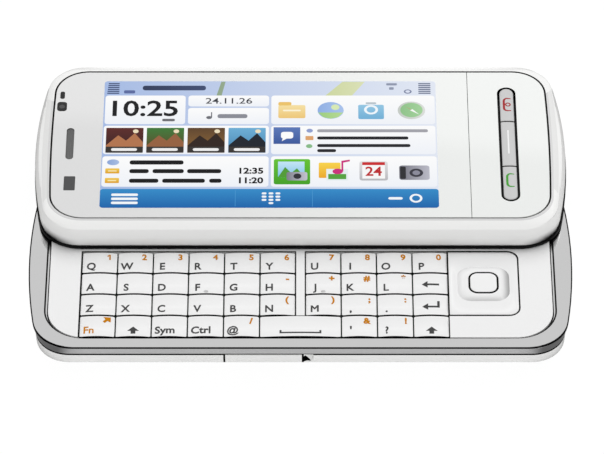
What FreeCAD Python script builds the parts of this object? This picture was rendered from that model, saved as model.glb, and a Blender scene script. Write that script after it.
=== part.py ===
"""Side-sliding phone with a four-row keyboard, built as an assembly of separate solids.

The lower half carries the keyboard and rests on its curved white cover. The upper half
holds the display and rides on two rails; it is shown slid fully open, towards +Y.
Millimetres. X runs along the phone, Y across it, Z up; the origin is the middle of the
flat underside of the lower half.
"""
import FreeCAD
import Part
import math
import os
from FreeCAD import Vector

# ---- whole phone --------------------------------------------------------------------
length = 113.4
width = 53.0
thickness = 16.8
corner_radius = 8.5
end_bow_radius = 110.0        # plan radius of the bowed left and right ends
fit_gap = 0.12                # gap round a part set into an opening

# ---- lower half ---------------------------------------------------------------------
base_height = 10.8            # underside to the top of the metal rim
cover_height = 7.9            # underside to the seam between cover and rim
cover_wall = 1.2
cover_seam = 0.15             # fine step where cover and bright band meet
belly_rounding = 12.6         # how far in plan the cover curves in towards its flat
belly_steps = 5               # bands that make up the belly curve
cover_floor = 2.0             # underside to the cover's inner floor
lining_knee = (3.0, 2.0)      # where the inner wall turns: in from the seam, up from the floor
lining_inset = 8.0            # how far in the inner floor starts
band_taper = 0.8              # inward lean of the bright band below the rim
rim_lip_height = 0.2
rim_groove_height = 0.4
rim_groove_depth = 0.35
rim_end_width = 3.7           # flat of the rim at the two ends
rim_side_width = 2.55         # flat of the rim along the front and back
ledge_width = 0.7             # thin step between rim and deck, at the two ends
ledge_drop = 0.25
deck_clearance = 0.15
deck_front_gap = 0.3
deck_thickness = 1.2
deck_corner = 7.8
shoulder_width = 1.4          # how far the frame reaches in under the deck
board_corner = 5.0
board_bite = 0.5              # how far the board's edge reaches under the shoulder

rim_inner_half_length = length / 2 - rim_end_width
rim_inner_half_width = width / 2 - rim_side_width
seat_half_length = rim_inner_half_length - ledge_width
deck_half_length = seat_half_length - deck_clearance
deck_front = deck_front_gap - rim_inner_half_width
deck_top = base_height
deck_bottom = deck_top - deck_thickness

# ---- keyboard -----------------------------------------------------------------------
key_pitch_y = 6.34
key_gap = 0.22                # dark gap between two neighbouring caps
key_rise = 0.25               # a cap's crest above the deck
key_crown = 0.3               # fall from crest to the side edges
key_travel = 0.3
key_floor_gap = 0.05          # left under a pressed cap
key_stem = 2.0
stem_clearance = 0.1
centre_rib_width = 2.0        # white rib between the two key blocks
letter_rows = 3
left_columns = 6
right_columns = 4
space_columns = 1             # the space bar spans the rib and this many columns each side
deck_arms = 13.38             # deck left of the keys and right of the navigation bay, together
nav_width = 14.62

keyboard_width = 2 * deck_half_length - deck_arms - centre_rib_width - nav_width
key_pitch_x = keyboard_width / (left_columns + right_columns)
keys_left = -centre_rib_width / 2 - left_columns * key_pitch_x
keys_right = centre_rib_width / 2 + right_columns * key_pitch_x
keys_back = deck_front + (letter_rows + 1) * key_pitch_y
letters_front = keys_back - letter_rows * key_pitch_y
key_crest = deck_top + key_rise
key_bottom = deck_bottom + key_travel + key_floor_gap

# ---- navigation keys ----------------------------------------------------------------
nav_depth = 18.95
nav_back_step = 0.15          # the bay reaches this far behind the top key row
nav_corner = 2.1
nav_plate_height = 1.5
nav_pad_size = (10.8, 10.1)
nav_pad_slope = 1.3           # plan width of the pad's sloping sides
nav_pad_rise = 0.25
nav_pad_corner = 2.8
select_size = (5.9, 5.8)
select_corner = 2.0
select_gap = 0.2              # round the select key in its window
select_offset = (0.0, 0.1)    # select key's centre from the bay's centre

nav_centre = (keys_right + nav_width / 2, keys_back + nav_back_step - nav_depth / 2)
select_centre = (nav_centre[0] + select_offset[0], nav_centre[1] + select_offset[1])

# ---- upper half ---------------------------------------------------------------------
lid_clearance = 0.79          # open lid's front edge behind the top key row
slide_travel = width / 2 + keys_back + lid_clearance
housing_bottom = 11.75
housing_wall = 1.3
housing_crease = 15.82        # height where the side face turns into the top bevel
housing_widest = 14.0         # height where the side face bulges furthest
crease_inset = 0.8
foot_inset = 0.45
barrel_steps = 2              # bands above and below the widest line
bevel_steps = 2
bevel_land = 0.15             # flat strip between the bevel and the pane opening
bevel_swell = 0.2             # how far the bevel bows outwards, as a share of its rise
pane_margin_x = 3.5
pane_margin_y = 3.37
pane_corner = 7.1
pane_bow_radius = 420.0
pane_thickness = 1.2
pane_groove = 0.12            # half of the dark gap round the panes
pane_seam = 0.16              # gap between touch pane and key pane
strip_from_end = 9.0          # middle of the front key strip from the pane's end
seam_to_strip = 8.35
ledge_reach = 2.0             # the housing's ledge under the pane edge
ledge_thickness = 0.6
key_floor_thickness = 0.8
key_floor_margin = 1.0
display_margin_x = 11.05      # from the pane's sensor end to the screen
display_to_seam = 6.8         # from the screen to the seam between the two panes
display_margin_y = 3.1
display_border = 0.6
display_depth = 2.5

pane_half_length = length / 2 - pane_margin_x
pane_half_width = width / 2 - pane_margin_y
pane_bottom = thickness - pane_thickness
ledge_bottom = pane_bottom - ledge_thickness
strip_centre_x = pane_half_length - strip_from_end
pane_seam_x = strip_centre_x - seam_to_strip
display_left = display_margin_x - pane_half_length
display_right = pane_seam_x - display_to_seam
display_half_width = pane_half_width - display_margin_y

# ---- front keys ---------------------------------------------------------------------
strip_key_width = 2.95
strip_key_span = 35.0
strip_side_gap = 0.425
strip_end_gap = 0.4
strip_seam_offset = 7.07      # end and call keys start this far from the middle
strip_seam = 0.15
strip_key_proud = 0.12
strip_key_crown = 0.15
strip_travel = 0.25
strip_floor_gap = 0.05
strip_slot = (strip_key_width + 2 * strip_side_gap, strip_key_span + 2 * strip_end_gap)

# ---- slide rails --------------------------------------------------------------------
slide_plate_thickness = 0.35
slide_plate_top = 12.3
skirt_inset = 0.15
skirt_width = 2.0
skirt_bottom = 11.15
running_gap = 0.1
rail_flange_thickness = 0.4
rail_end_room = 7.2           # from the phone's end to the rail's flange
rail_reach = 5.0              # width of the flange that the guide wraps
rail_riser = 1.2
rail_plate_thickness = 0.4
rail_front_room = 2.0
rail_back_room = 1.15
guide_wall = 0.5
guide_lip_reach = 3.2
guide_lip_thickness = 0.4
guide_end_margin = 4.5

plate_bottom = slide_plate_top - slide_plate_thickness
rail_flange_half = length / 2 - rail_end_room
rail_half = rail_flange_half - rail_reach
rail_front = slide_travel - width / 2 + skirt_width + rail_front_room
rail_back = rim_inner_half_width - rail_back_room
flange_top = plate_bottom - running_gap
flange_low = flange_top - rail_flange_thickness

# ---- inner parts --------------------------------------------------------------------
board_thickness = 0.8
board_top = 8.4
board_low = board_top - board_thickness
shield_size = (15.0, 30.0, 2.0)
camera_from_end = 22.5
camera_strip = (10.4, 25.0)
camera_strip_corner = 3.0
camera_strip_recess = 0.2
camera_strip_thickness = 0.9
camera_body = 9.0
camera_lens_radius = 3.1
camera_lens_floor = 0.3
camera_flash_y = 8.6
camera_flash_radius = 1.5
speaker_slot = (5.6, 0.8)
speaker_slot_pitch = 1.7
speaker_slots = 3
speaker_y = -8.8
battery_from_camera = 5.7
battery_end_room = 28.7
battery_side_room = 8.5
battery_height = 4.0
battery_lift = 0.2            # above the cover's inner floor
battery_corner = 1.5

board_half = (seat_half_length - shoulder_width + board_bite,
              rim_inner_half_width - shoulder_width + board_bite)
stem_bottom = board_top + key_travel + stem_clearance
camera_centre_x = camera_from_end - length / 2
battery_left = camera_centre_x + camera_body / 2 + battery_from_camera
battery_right = length / 2 - battery_end_room

# ---- sockets and side keys ----------------------------------------------------------
jack_radius = 1.8
jack_depth = 12.5
jack_block = (13.0, 5.6)
jack_y = 12.0
jack_z = 5.6
jack_from_end = 6.2
jack_hole_radius = 2.1
jack_pocket_gap = 0.15        # round the jack where it sits in the cover's wall
usb_size = (5.2, 7.6, 2.5)
usb_wall = 0.3
usb_from_end = 4.2
usb_hole_gap = 0.3
usb_y = -9.0
side_key_height = 1.5
side_key_proud = 0.35
side_key_depth = 1.3
side_key_pocket = 1.7
side_key_travel = 0.3
side_key_z = 9.0
volume_length = 20.0
volume_from_end = 30.7
camera_key_length = 8.0
camera_key_from_end = 18.7
power_length = 8.0
power_y = 0.0

jack_x = jack_from_end - length / 2
usb_x = usb_from_end - length / 2
volume_x = volume_from_end - length / 2
camera_key_x = length / 2 - camera_key_from_end

# ---- card slot door -----------------------------------------------------------------
door_left = -15.6
door_right = 0.4
door_bottom = 3.0
door_corner = 1.6
door_thickness = 1.1
nail_radius = 1.15            # finger-nail recess at the door's right end
nail_bottom = 4.1
tongue = (10.6, 1.0, 1.9)
tongue_left = -13.4
tongue_drop = 0.5             # tongue below the door's top edge
card_socket = (13.0, 11.5, 1.2)
card_socket_inset = 0.6

# ---- sensors set in the touch pane: centre from the sensor end and middle, size, corner
earpiece = ((4.2, 0.0), (1.65, 9.9), 0.82)
light_sensor = ((2.1, 15.5), (1.0, 2.4), 0.5)
front_camera = ((2.1, 11.85), (2.1, 3.0), 0.7)
proximity_sensor = ((4.5, -12.45), (2.4, 4.4), 0.0)
insert_gap = 0.02             # the inserts are this much smaller than their holes


# ---- drawing helpers ----------------------------------------------------------------
def arc(a, b, c):
    """Arc from a through b to c."""
    return Part.Arc(a, b, c).toShape()


def bowed_plan(half_length, half_width, corner, bow, z):
    """Plan outline with straight long edges, bowed ends and tangent corner arcs."""
    end_centre = half_length - bow
    corner_y = half_width - corner
    corner_x = end_centre + math.sqrt((bow - corner) ** 2 - corner_y ** 2)
    lean = math.atan2(corner_y, corner_x - end_centre)
    touch_x = end_centre + bow * math.cos(lean)
    touch_y = bow * math.sin(lean)
    middle = (lean + math.pi / 2) / 2
    mid_x = corner_x + corner * math.cos(middle)
    mid_y = corner_y + corner * math.sin(middle)

    def p(x, y):
        return Vector(x, y, z)

    edges = [
        Part.LineSegment(p(-corner_x, -half_width), p(corner_x, -half_width)).toShape(),
        arc(p(corner_x, -half_width), p(mid_x, -mid_y), p(touch_x, -touch_y)),
        arc(p(touch_x, -touch_y), p(half_length, 0), p(touch_x, touch_y)),
        arc(p(touch_x, touch_y), p(mid_x, mid_y), p(corner_x, half_width)),
        Part.LineSegment(p(corner_x, half_width), p(-corner_x, half_width)).toShape(),
        arc(p(-corner_x, half_width), p(-mid_x, mid_y), p(-touch_x, touch_y)),
        arc(p(-touch_x, touch_y), p(-half_length, 0), p(-touch_x, -touch_y)),
        arc(p(-touch_x, -touch_y), p(-mid_x, -mid_y), p(-corner_x, -half_width)),
    ]
    return Part.Wire(edges)


def body_plan(inset, z):
    """The phone's outline, drawn in by inset all round."""
    return bowed_plan(length / 2 - inset, width / 2 - inset, corner_radius - inset,
                      end_bow_radius - inset, z)


def belly_plan(inset, z):
    """The phone's outline drawn in by a large inset, with corners that stay round."""
    corner = corner_radius - min(inset, band_taper + cover_wall)
    return bowed_plan(length / 2 - inset, width / 2 - inset, corner,
                      end_bow_radius - inset, z)


def pane_plan(inset, z):
    """The front panes' outline, drawn in by inset."""
    return bowed_plan(pane_half_length - inset, pane_half_width - inset,
                      pane_corner - inset, pane_bow_radius - inset, z)


def prism(wire, height):
    """Solid of a flat outline pulled up by height."""
    return Part.Face(wire).extrude(Vector(0, 0, height))


def tapered(lower, upper):
    """Solid with straight sides from one outline to another."""
    return Part.makeLoft([lower, upper], True, True)


def block(x0, x1, y0, y1, z0, z1):
    """Box between two corners."""
    return Part.makeBox(x1 - x0, y1 - y0, z1 - z0, Vector(x0, y0, z0))


def rounded(centre, size, corner, z0, z1):
    """Upright prism with a rounded-rectangle plan, or a plain one when corner is 0."""
    half_x, half_y = size[0] / 2, size[1] / 2
    cx, cy = centre
    solid = block(cx - half_x, cx + half_x, cy - half_y, cy + half_y, z0, z1)
    if corner <= 0:
        return solid
    upright = [e for e in solid.Edges
               if abs(e.Vertexes[0].Z - e.Vertexes[1].Z) > (z1 - z0) / 2]
    return solid.makeFillet(min(corner, half_x, half_y) * 0.999, upright)


def upright_cylinder(x, y, radius, z0, z1):
    """Round post along Z."""
    return Part.makeCylinder(radius, z1 - z0, Vector(x, y, z0))


def arched_section(x0, x1, y, low, shoulder, crest):
    """Upright outline at y: flat below, straight sides, and an arched top edge."""
    left = Vector(x0, y, shoulder)
    right = Vector(x1, y, shoulder)
    top = arc(right, Vector((x0 + x1) / 2, y, crest), left)
    sides = Part.makePolygon([left, Vector(x0, y, low), Vector(x1, y, low), right])
    return Part.Wire(sides.Edges + [top])


def in_lid(shape):
    """Moves a shape drawn for the closed phone to the open place of the upper half."""
    moved = shape.copy()
    moved.translate(Vector(0, slide_travel, 0))
    return moved


# ---- lower half: cover, frame, deck -------------------------------------------------
def belly():
    """Solid inside the cover's curved outer surface."""
    sections = []
    for i in range(belly_steps + 1):
        turn = math.pi / 2 * (belly_steps - i) / belly_steps
        inset = band_taper + belly_rounding * (1 - math.cos(turn))
        sections.append(belly_plan(inset, cover_height * (1 - math.sin(turn))))
    return Part.makeLoft(sections, True, True)


def lining():
    """Room inside the cover, open at the top."""
    start = band_taper + cover_wall
    knee_in, knee_up = lining_knee
    sections = [body_plan(lining_inset, cover_floor),
                body_plan(start + knee_in, cover_floor + knee_up),
                body_plan(start, cover_height)]
    room = Part.makeLoft(sections, True, True)
    return room.fuse(prism(body_plan(start, cover_height), 1))


def door_prism(grow, depth):
    """Space of the card door seen from the front, its lower corners rounded."""
    left, right = door_left - grow, door_right + grow
    bottom = door_bottom - grow
    y0 = -width / 2 - 1
    solid = block(left, right, y0, y0 + depth, bottom, cover_height + 1)
    low = [e for e in solid.Edges
           if abs(e.Vertexes[0].Y - e.Vertexes[1].Y) > depth / 2
           and e.BoundBox.ZMax < bottom + 0.01]
    return solid.makeFillet(door_corner, low)


def card_door():
    """Lid of the memory-card slot: a piece of the cover's wall with a tongue behind."""
    behind = belly()
    behind.translate(Vector(0, door_thickness, 0))
    skin = belly().cut(behind)
    panel = skin.common(door_prism(-fit_gap, width / 4))
    panel = panel.common(block(-length, length, -width, 0, 0, cover_height - fit_gap))
    reach, high, deep = tongue
    y_front = -width / 2 + band_taper + door_thickness / 2
    rib_top = cover_height - tongue_drop
    rib = block(tongue_left, tongue_left + reach, y_front, y_front + deep,
                rib_top - high, rib_top)
    return panel.fuse(rib).removeSplitter()


def battery_cover():
    """White curved back with openings for camera strip, card door and sockets."""
    shell = belly().cut(lining())
    shell = shell.cut(door_prism(0, width / 4))
    shell = shell.cut(upright_cylinder(door_right + nail_radius, -width / 2 + band_taper,
                                       nail_radius, nail_bottom, cover_height + 1))
    seam_low = cover_height - cover_seam
    step = prism(belly_plan(0, seam_low), 2 * cover_seam)
    step = step.cut(prism(belly_plan(band_taper + cover_seam, seam_low), 2 * cover_seam))
    shell = shell.cut(step)
    strip_x, strip_y = camera_strip
    shell = shell.cut(rounded((camera_centre_x, 0),
                              (strip_x + 2 * fit_gap, strip_y + 2 * fit_gap),
                              camera_strip_corner, -1, cover_floor + 1))
    jack = Part.makeCylinder(jack_hole_radius, length / 4,
                             Vector(-length / 2 - 1, jack_y, jack_z), Vector(1, 0, 0))
    jack_room = jack_block[1] / 2 + jack_pocket_gap
    jack_pocket = block(jack_x - jack_pocket_gap, 0, jack_y - jack_room,
                        jack_y + jack_room, jack_z - jack_room, cover_height + 1)
    shell = shell.cut(jack).cut(jack_pocket)
    usb_long, usb_wide, usb_high = usb_size
    usb_hole = block(-length / 2 - 1, usb_x + usb_long,
                     usb_y - usb_wide / 2 - usb_hole_gap,
                     usb_y + usb_wide / 2 + usb_hole_gap,
                     board_low - usb_high - usb_hole_gap, cover_height - cover_seam)
    return shell.cut(usb_hole)


def side_pocket(centre, along, span):
    """Blind pocket for a side key: open outwards, grown by the fit gap."""
    half = span / 2 + fit_gap
    low = side_key_z - side_key_height / 2 - fit_gap
    high = side_key_z + side_key_height / 2 + fit_gap
    if along == "x":
        edge = width / 2 - side_key_pocket
        return block(centre - half, centre + half, edge, width / 2 + 1, low, high)
    edge = -length / 2 + side_key_pocket
    return block(-length / 2 - 1, edge, centre - half, centre + half, low, high)


def chassis_frame():
    """Metal rim with its bright band, and the shoulders that carry deck and board."""
    groove_top = base_height - rim_lip_height
    groove_low = groove_top - rim_groove_height
    lip = prism(body_plan(0, groove_top), rim_lip_height)
    groove = prism(body_plan(rim_groove_depth, groove_low), rim_groove_height)
    band = tapered(body_plan(band_taper, cover_height), body_plan(0.05, groove_low))
    ring = lip.fuse([groove, band])
    corner = deck_corner + ledge_width
    mouth = rounded((0, 0), (2 * rim_inner_half_length, 2 * rim_inner_half_width),
                    corner, base_height - ledge_drop, base_height + 1)
    seat = rounded((0, 0), (2 * seat_half_length, 2 * rim_inner_half_width), deck_corner,
                   deck_bottom, base_height)
    well = rounded((0, 0), (2 * (seat_half_length - shoulder_width),
                            2 * (rim_inner_half_width - shoulder_width)),
                   board_corner, cover_height - 1, base_height)
    board_x, board_y = board_half
    board_seat = rounded((0, 0), (2 * (board_x + fit_gap), 2 * (board_y + fit_gap)),
                         board_corner, cover_height - 1, board_top)
    ring = ring.cut(mouth).cut(seat).cut(well).cut(board_seat)
    for centre, along, span in ((volume_x, "x", volume_length),
                                (camera_key_x, "x", camera_key_length),
                                (power_y, "y", power_length)):
        ring = ring.cut(side_pocket(centre, along, span))
    return ring.removeSplitter()


def keypad_deck():
    """White plate round the keys: rear plate, two arms, the rib and the navigation bay."""
    low, high = deck_bottom - 1, deck_top + 1
    rib = centre_rib_width / 2
    nav_x, nav_y = nav_centre
    nav_back, nav_front = nav_y + nav_depth / 2, nav_y - nav_depth / 2
    plate = rounded((0, 0), (2 * deck_half_length, -2 * deck_front), deck_corner,
                    deck_bottom, deck_top)
    plate = plate.cut(block(keys_left, -rib, letters_front, keys_back, low, high))
    plate = plate.cut(block(rib, keys_right, letters_front, keys_back, low, high))
    plate = plate.cut(block(keys_left, keys_right, -width, letters_front, low, high))
    plate = plate.cut(rounded(nav_centre, (nav_width, nav_depth), nav_corner, low, high))
    return plate.cut(block(keys_right, nav_x, nav_front, nav_back, low, high))


# ---- keys ---------------------------------------------------------------------------
def stem(x, y, top):
    """Square post below a key, which presses the switch on the board."""
    half = key_stem / 2
    return block(x - half, x + half, y - half, y + half, stem_bottom, top)


def keycap(x0, x1, y0, y1):
    """One cap with an arched top, and its stem."""
    left, right = x0 + key_gap / 2, x1 - key_gap / 2
    front, back = y0 + key_gap / 2, y1 - key_gap / 2
    arch = arched_section(left, right, front, key_bottom, key_crest - key_crown, key_crest)
    cap = Part.Face(arch).extrude(Vector(0, back - front, 0))
    return cap.fuse(stem((left + right) / 2, (front + back) / 2, key_bottom))


def keyboard():
    """Every key of the four rows, by node name."""
    rows = (("q", "w", "e", "r", "t", "y", "u", "i", "o", "p"),
            ("a", "s", "d", "f", "g", "h", "j", "k", "l", "backspace"),
            ("z", "x", "c", "v", "b", "n", "m", "comma", "period", "enter"))
    made = {}
    for row, names in enumerate(rows):
        y1 = keys_back - row * key_pitch_y
        for column, name in enumerate(names):
            if column < left_columns:
                x0 = keys_left + column * key_pitch_x
            else:
                x0 = centre_rib_width / 2 + (column - left_columns) * key_pitch_x
            made["key_" + name] = keycap(x0, x0 + key_pitch_x, y1 - key_pitch_y, y1)
    y1 = letters_front
    y0 = y1 - key_pitch_y
    space_half = centre_rib_width / 2 + space_columns * key_pitch_x
    for column, name in enumerate(("fn", "shift_left", "sym", "ctrl", "at")):
        x0 = keys_left + column * key_pitch_x
        made["key_" + name] = keycap(x0, x0 + key_pitch_x, y0, y1)
    made["key_space"] = keycap(-space_half, space_half, y0, y1)
    for column, name in enumerate(("apostrophe", "question", "shift_right")):
        x0 = space_half + column * key_pitch_x
        made["key_" + name] = keycap(x0, x0 + key_pitch_x, y0, y1)
    return made


def navigation_key():
    """Four-way key: a plate, square beside the keys, with a pad and a select-key window."""
    low = deck_top - nav_plate_height
    nav_x, nav_y = nav_centre
    half_x, half_y = nav_width / 2 - fit_gap, nav_depth / 2 - fit_gap
    plate = rounded(nav_centre, (2 * half_x, 2 * half_y), nav_corner, low, deck_top)
    beside_keys = block(nav_x - half_x, nav_x, nav_y - half_y, nav_y + half_y, low, deck_top)
    plate = plate.fuse(beside_keys)
    crest = deck_top + nav_pad_rise
    pad = rounded(select_centre, nav_pad_size, nav_pad_corner, low, crest)
    rim = [e for e in pad.Edges if e.BoundBox.ZMin > crest - nav_pad_rise / 2]
    pad = pad.makeChamfer(nav_pad_rise, nav_pad_slope, rim)
    window_size = (select_size[0] + 2 * select_gap, select_size[1] + 2 * select_gap)
    window = rounded(select_centre, window_size, select_corner + select_gap, low - 1,
                     deck_top + 1)
    return plate.fuse(pad).cut(window).removeSplitter()


def select_key():
    """Middle key of the navigation pad, with its stem."""
    low = deck_top - nav_plate_height
    cap = rounded(select_centre, select_size, select_corner, low,
                  deck_top + nav_pad_rise)
    return cap.fuse(stem(select_centre[0], select_centre[1], low))


def side_key(centre, along, span):
    """Bar key in the bright band: volume, camera or power."""
    low = side_key_z - side_key_height / 2
    high = side_key_z + side_key_height / 2
    if along == "x":
        face = width / 2 + side_key_proud - band_taper / 2
        bar = block(centre - span / 2, centre + span / 2, face - side_key_depth, face,
                    low, high)
        edges = [e for e in bar.Edges if e.BoundBox.YMin > face - 0.01]
    else:
        face = -length / 2 - side_key_proud + band_taper / 2
        bar = block(face, face + side_key_depth, centre - span / 2, centre + span / 2,
                    low, high)
        edges = [e for e in bar.Edges if e.BoundBox.XMax < face + 0.01]
    return bar.makeFillet(side_key_proud, edges)


# ---- upper half ---------------------------------------------------------------------
def bevel_plan(share, z):
    """Outline part way up the bevel: the body's at share 0, the pane opening's at 1."""
    rim = pane_groove + bevel_land
    starts = (length / 2 - crease_inset, width / 2 - crease_inset,
              corner_radius - crease_inset, end_bow_radius - crease_inset)
    ends = (pane_half_length + rim, pane_half_width + rim, pane_corner + rim,
            pane_bow_radius + rim)
    sizes = [a + (b - a) * share for a, b in zip(starts, ends)]
    return bowed_plan(*sizes, z)


def housing_outside():
    """Barrel-shaped side, widest near its middle, with a bevel up to the pane opening."""
    low = housing_widest - housing_bottom
    high = housing_crease - housing_widest
    sides = []
    for i in range(-barrel_steps, barrel_steps + 1):
        part = i / barrel_steps
        drop, inset = (low, foot_inset) if i < 0 else (high, crease_inset)
        sides.append(body_plan(inset * part * part, housing_widest + drop * part))
    barrel = Part.makeLoft(sides, True, True)
    rise = thickness - housing_crease
    bevels = []
    for i in range(bevel_steps + 1):
        share = i / bevel_steps
        lift = share + bevel_swell * share * (1 - share)
        bevels.append(bevel_plan(share, housing_crease + rise * lift))
    return barrel.fuse(Part.makeLoft(bevels, True, True))


def upper_housing():
    """White frame round the front panes, open below, with a ledge and a key floor."""
    outer = housing_outside()
    mouth = prism(pane_plan(-pane_groove, pane_bottom), pane_thickness + 1)
    throat = prism(pane_plan(ledge_reach, housing_bottom), thickness)
    cavity = prism(body_plan(housing_wall, housing_bottom - 1),
                   ledge_bottom - housing_bottom + 1)
    ring = outer.cut(mouth).cut(throat).cut(cavity)
    floor_half = pane_half_width - key_floor_margin
    floor = block(pane_seam_x + key_floor_margin, pane_half_length - key_floor_margin,
                  -floor_half, floor_half, ledge_bottom - key_floor_thickness,
                  ledge_bottom)
    return in_lid(ring.fuse(floor).removeSplitter())


def insert_shapes(grow, z0, z1):
    """Earpiece slot, light sensor, proximity sensor and front camera, in plan."""
    shapes = []
    for (x, y), (wide, deep), corner in (earpiece, light_sensor, front_camera,
                                         proximity_sensor):
        shapes.append(rounded((x - pane_half_length, y), (wide + 2 * grow, deep + 2 * grow),
                              corner, z0, z1))
    return shapes


def front_window():
    """Touch pane and key pane, split by a fine seam."""
    low, high = pane_bottom - 1, thickness + 1
    sheet = prism(pane_plan(pane_groove, pane_bottom), pane_thickness)
    half = pane_seam / 2
    seam = block(pane_seam_x - half, pane_seam_x + half, -width, width, low, high)
    slot = rounded((strip_centre_x, 0), strip_slot, strip_slot[0] / 2, low, high)
    sheet = sheet.cut(seam).cut(slot)
    for hole in insert_shapes(0, low, high):
        sheet = sheet.cut(hole)
    return in_lid(sheet)


def front_inserts():
    """The earpiece grille and the three dark sensor windows, set in the touch pane."""
    return in_lid(Part.makeCompound(insert_shapes(-insert_gap, pane_bottom, thickness)))


def display_module():
    """Screen and its metal frame, bonded under the touch pane."""
    half = display_half_width + display_border
    return in_lid(block(display_left - display_border, display_right + display_border,
                        -half, half, pane_bottom - display_depth, pane_bottom))


def strip_key(y0, y1, round_low, round_high):
    """One of the three front keys, arched across, with a round outer end where it has one."""
    top = thickness + strip_key_proud
    low = ledge_bottom + strip_travel + strip_floor_gap
    half = strip_key_width / 2
    strip = rounded((strip_centre_x, 0), (strip_key_width, strip_key_span), half, low, top)
    front = -strip_key_span if round_low else y0
    back = strip_key_span if round_high else y1
    ends = [arched_section(strip_centre_x - half, strip_centre_x + half, y, low,
                           top - strip_key_crown, top) for y in (front, back)]
    return in_lid(strip.common(tapered(ends[0], ends[1])))


def slide_plate():
    """Black underside of the upper half: web, dust skirt and the two rail guides."""
    web_inset = housing_wall + fit_gap
    web = prism(body_plan(web_inset, plate_bottom), slide_plate_thickness)
    brim = prism(body_plan(skirt_inset, skirt_bottom), housing_bottom - skirt_bottom)
    neck = prism(body_plan(web_inset, skirt_bottom), slide_plate_top - skirt_bottom)
    hollow = prism(body_plan(skirt_width, skirt_bottom - 1),
                   plate_bottom - skirt_bottom + 1)
    plate = brim.fuse(neck).fuse(web).cut(hollow)
    lip_top = flange_low - running_gap
    lip_low = lip_top - guide_lip_thickness
    half = width / 2 - guide_end_margin
    for side in (-1, 1):
        inner = rail_flange_half + running_gap
        outer = inner + guide_wall
        wall_x = sorted((side * inner, side * outer))
        lip_x = sorted((side * (inner - guide_lip_reach), side * outer))
        plate = plate.fuse(block(wall_x[0], wall_x[1], -half, half, lip_low, plate_bottom))
        plate = plate.fuse(block(lip_x[0], lip_x[1], -half, half, lip_low, lip_top))
    return in_lid(plate.removeSplitter())


def slide_rails():
    """Fixed rail plate on the rear of the deck, its edges stepped up into flanges."""
    rails = block(-rail_half, rail_half, rail_front, rail_back, deck_top,
                  deck_top + rail_plate_thickness)
    for side in (-1, 1):
        riser = sorted((side * (rail_half - rail_riser), side * rail_half))
        flange = sorted((side * (rail_half - rail_riser), side * rail_flange_half))
        rails = rails.fuse(block(riser[0], riser[1], rail_front, rail_back, deck_top,
                                 flange_top))
        rails = rails.fuse(block(flange[0], flange[1], rail_front, rail_back,
                                 flange_low, flange_top))
    return rails.removeSplitter()


# ---- inner parts --------------------------------------------------------------------
def main_board():
    """Circuit board with shield, card socket, headset jack and data socket."""
    board = rounded((0, 0), (2 * board_half[0], 2 * board_half[1]), board_corner,
                    board_low, board_top)
    shield_x, shield_y, shield_z = shield_size
    nav_x = nav_centre[0]
    shield = block(nav_x - shield_x / 2, nav_x + shield_x / 2, -shield_y / 2,
                   shield_y / 2, board_low - shield_z, board_low)
    socket_x, socket_y, socket_z = card_socket
    socket_left = tongue_left - (socket_x - tongue[0]) / 2
    socket_front = card_socket_inset - board_half[1]
    socket = block(socket_left, socket_left + socket_x, socket_front,
                   socket_front + socket_y, board_low - socket_z, board_low)
    jack_long, jack_wide = jack_block
    jack = block(jack_x, jack_x + jack_long, jack_y - jack_wide / 2,
                 jack_y + jack_wide / 2, jack_z - jack_wide / 2, board_low)
    bore = Part.makeCylinder(jack_radius, jack_depth, Vector(jack_x, jack_y, jack_z),
                             Vector(1, 0, 0))
    usb_long, usb_wide, usb_high = usb_size
    usb_low = board_low - usb_high
    usb = block(usb_x, usb_x + usb_long, usb_y - usb_wide / 2, usb_y + usb_wide / 2,
                usb_low, board_low)
    usb_mouth = block(usb_x - 1, usb_x + usb_long - usb_wall,
                      usb_y - usb_wide / 2 + usb_wall, usb_y + usb_wide / 2 - usb_wall,
                      usb_low + usb_wall, board_low - usb_wall)
    return board.fuse([shield, socket, jack, usb]).cut(bore).cut(usb_mouth)


def battery():
    """Flat pack between the board and the cover."""
    centre = ((battery_left + battery_right) / 2, 0)
    size = (battery_right - battery_left, width - 2 * battery_side_room)
    low = cover_floor + battery_lift
    return rounded(centre, size, battery_corner, low, low + battery_height)


def rear_camera():
    """Camera strip set into the cover: window, lens barrel, flash and speaker slots."""
    low = camera_strip_recess
    high = low + camera_strip_thickness
    strip = rounded((camera_centre_x, 0), camera_strip, camera_strip_corner, low, high)
    for i in range(speaker_slots):
        y = speaker_y + (i - (speaker_slots - 1) / 2) * speaker_slot_pitch
        half_x, half_y = speaker_slot[0] / 2, speaker_slot[1] / 2
        strip = strip.cut(block(camera_centre_x - half_x, camera_centre_x + half_x,
                                y - half_y, y + half_y, low - 1, high + 1))
    strip = strip.cut(upright_cylinder(camera_centre_x, 0, camera_lens_radius, low - 1,
                                       high - camera_lens_floor))
    strip = strip.cut(upright_cylinder(camera_centre_x, camera_flash_y,
                                       camera_flash_radius, low - 1,
                                       high - 2 * camera_lens_floor))
    half = camera_body / 2
    body = block(camera_centre_x - half, camera_centre_x + half, -half, half, high,
                 board_low)
    return strip.fuse(body).removeSplitter()


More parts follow.
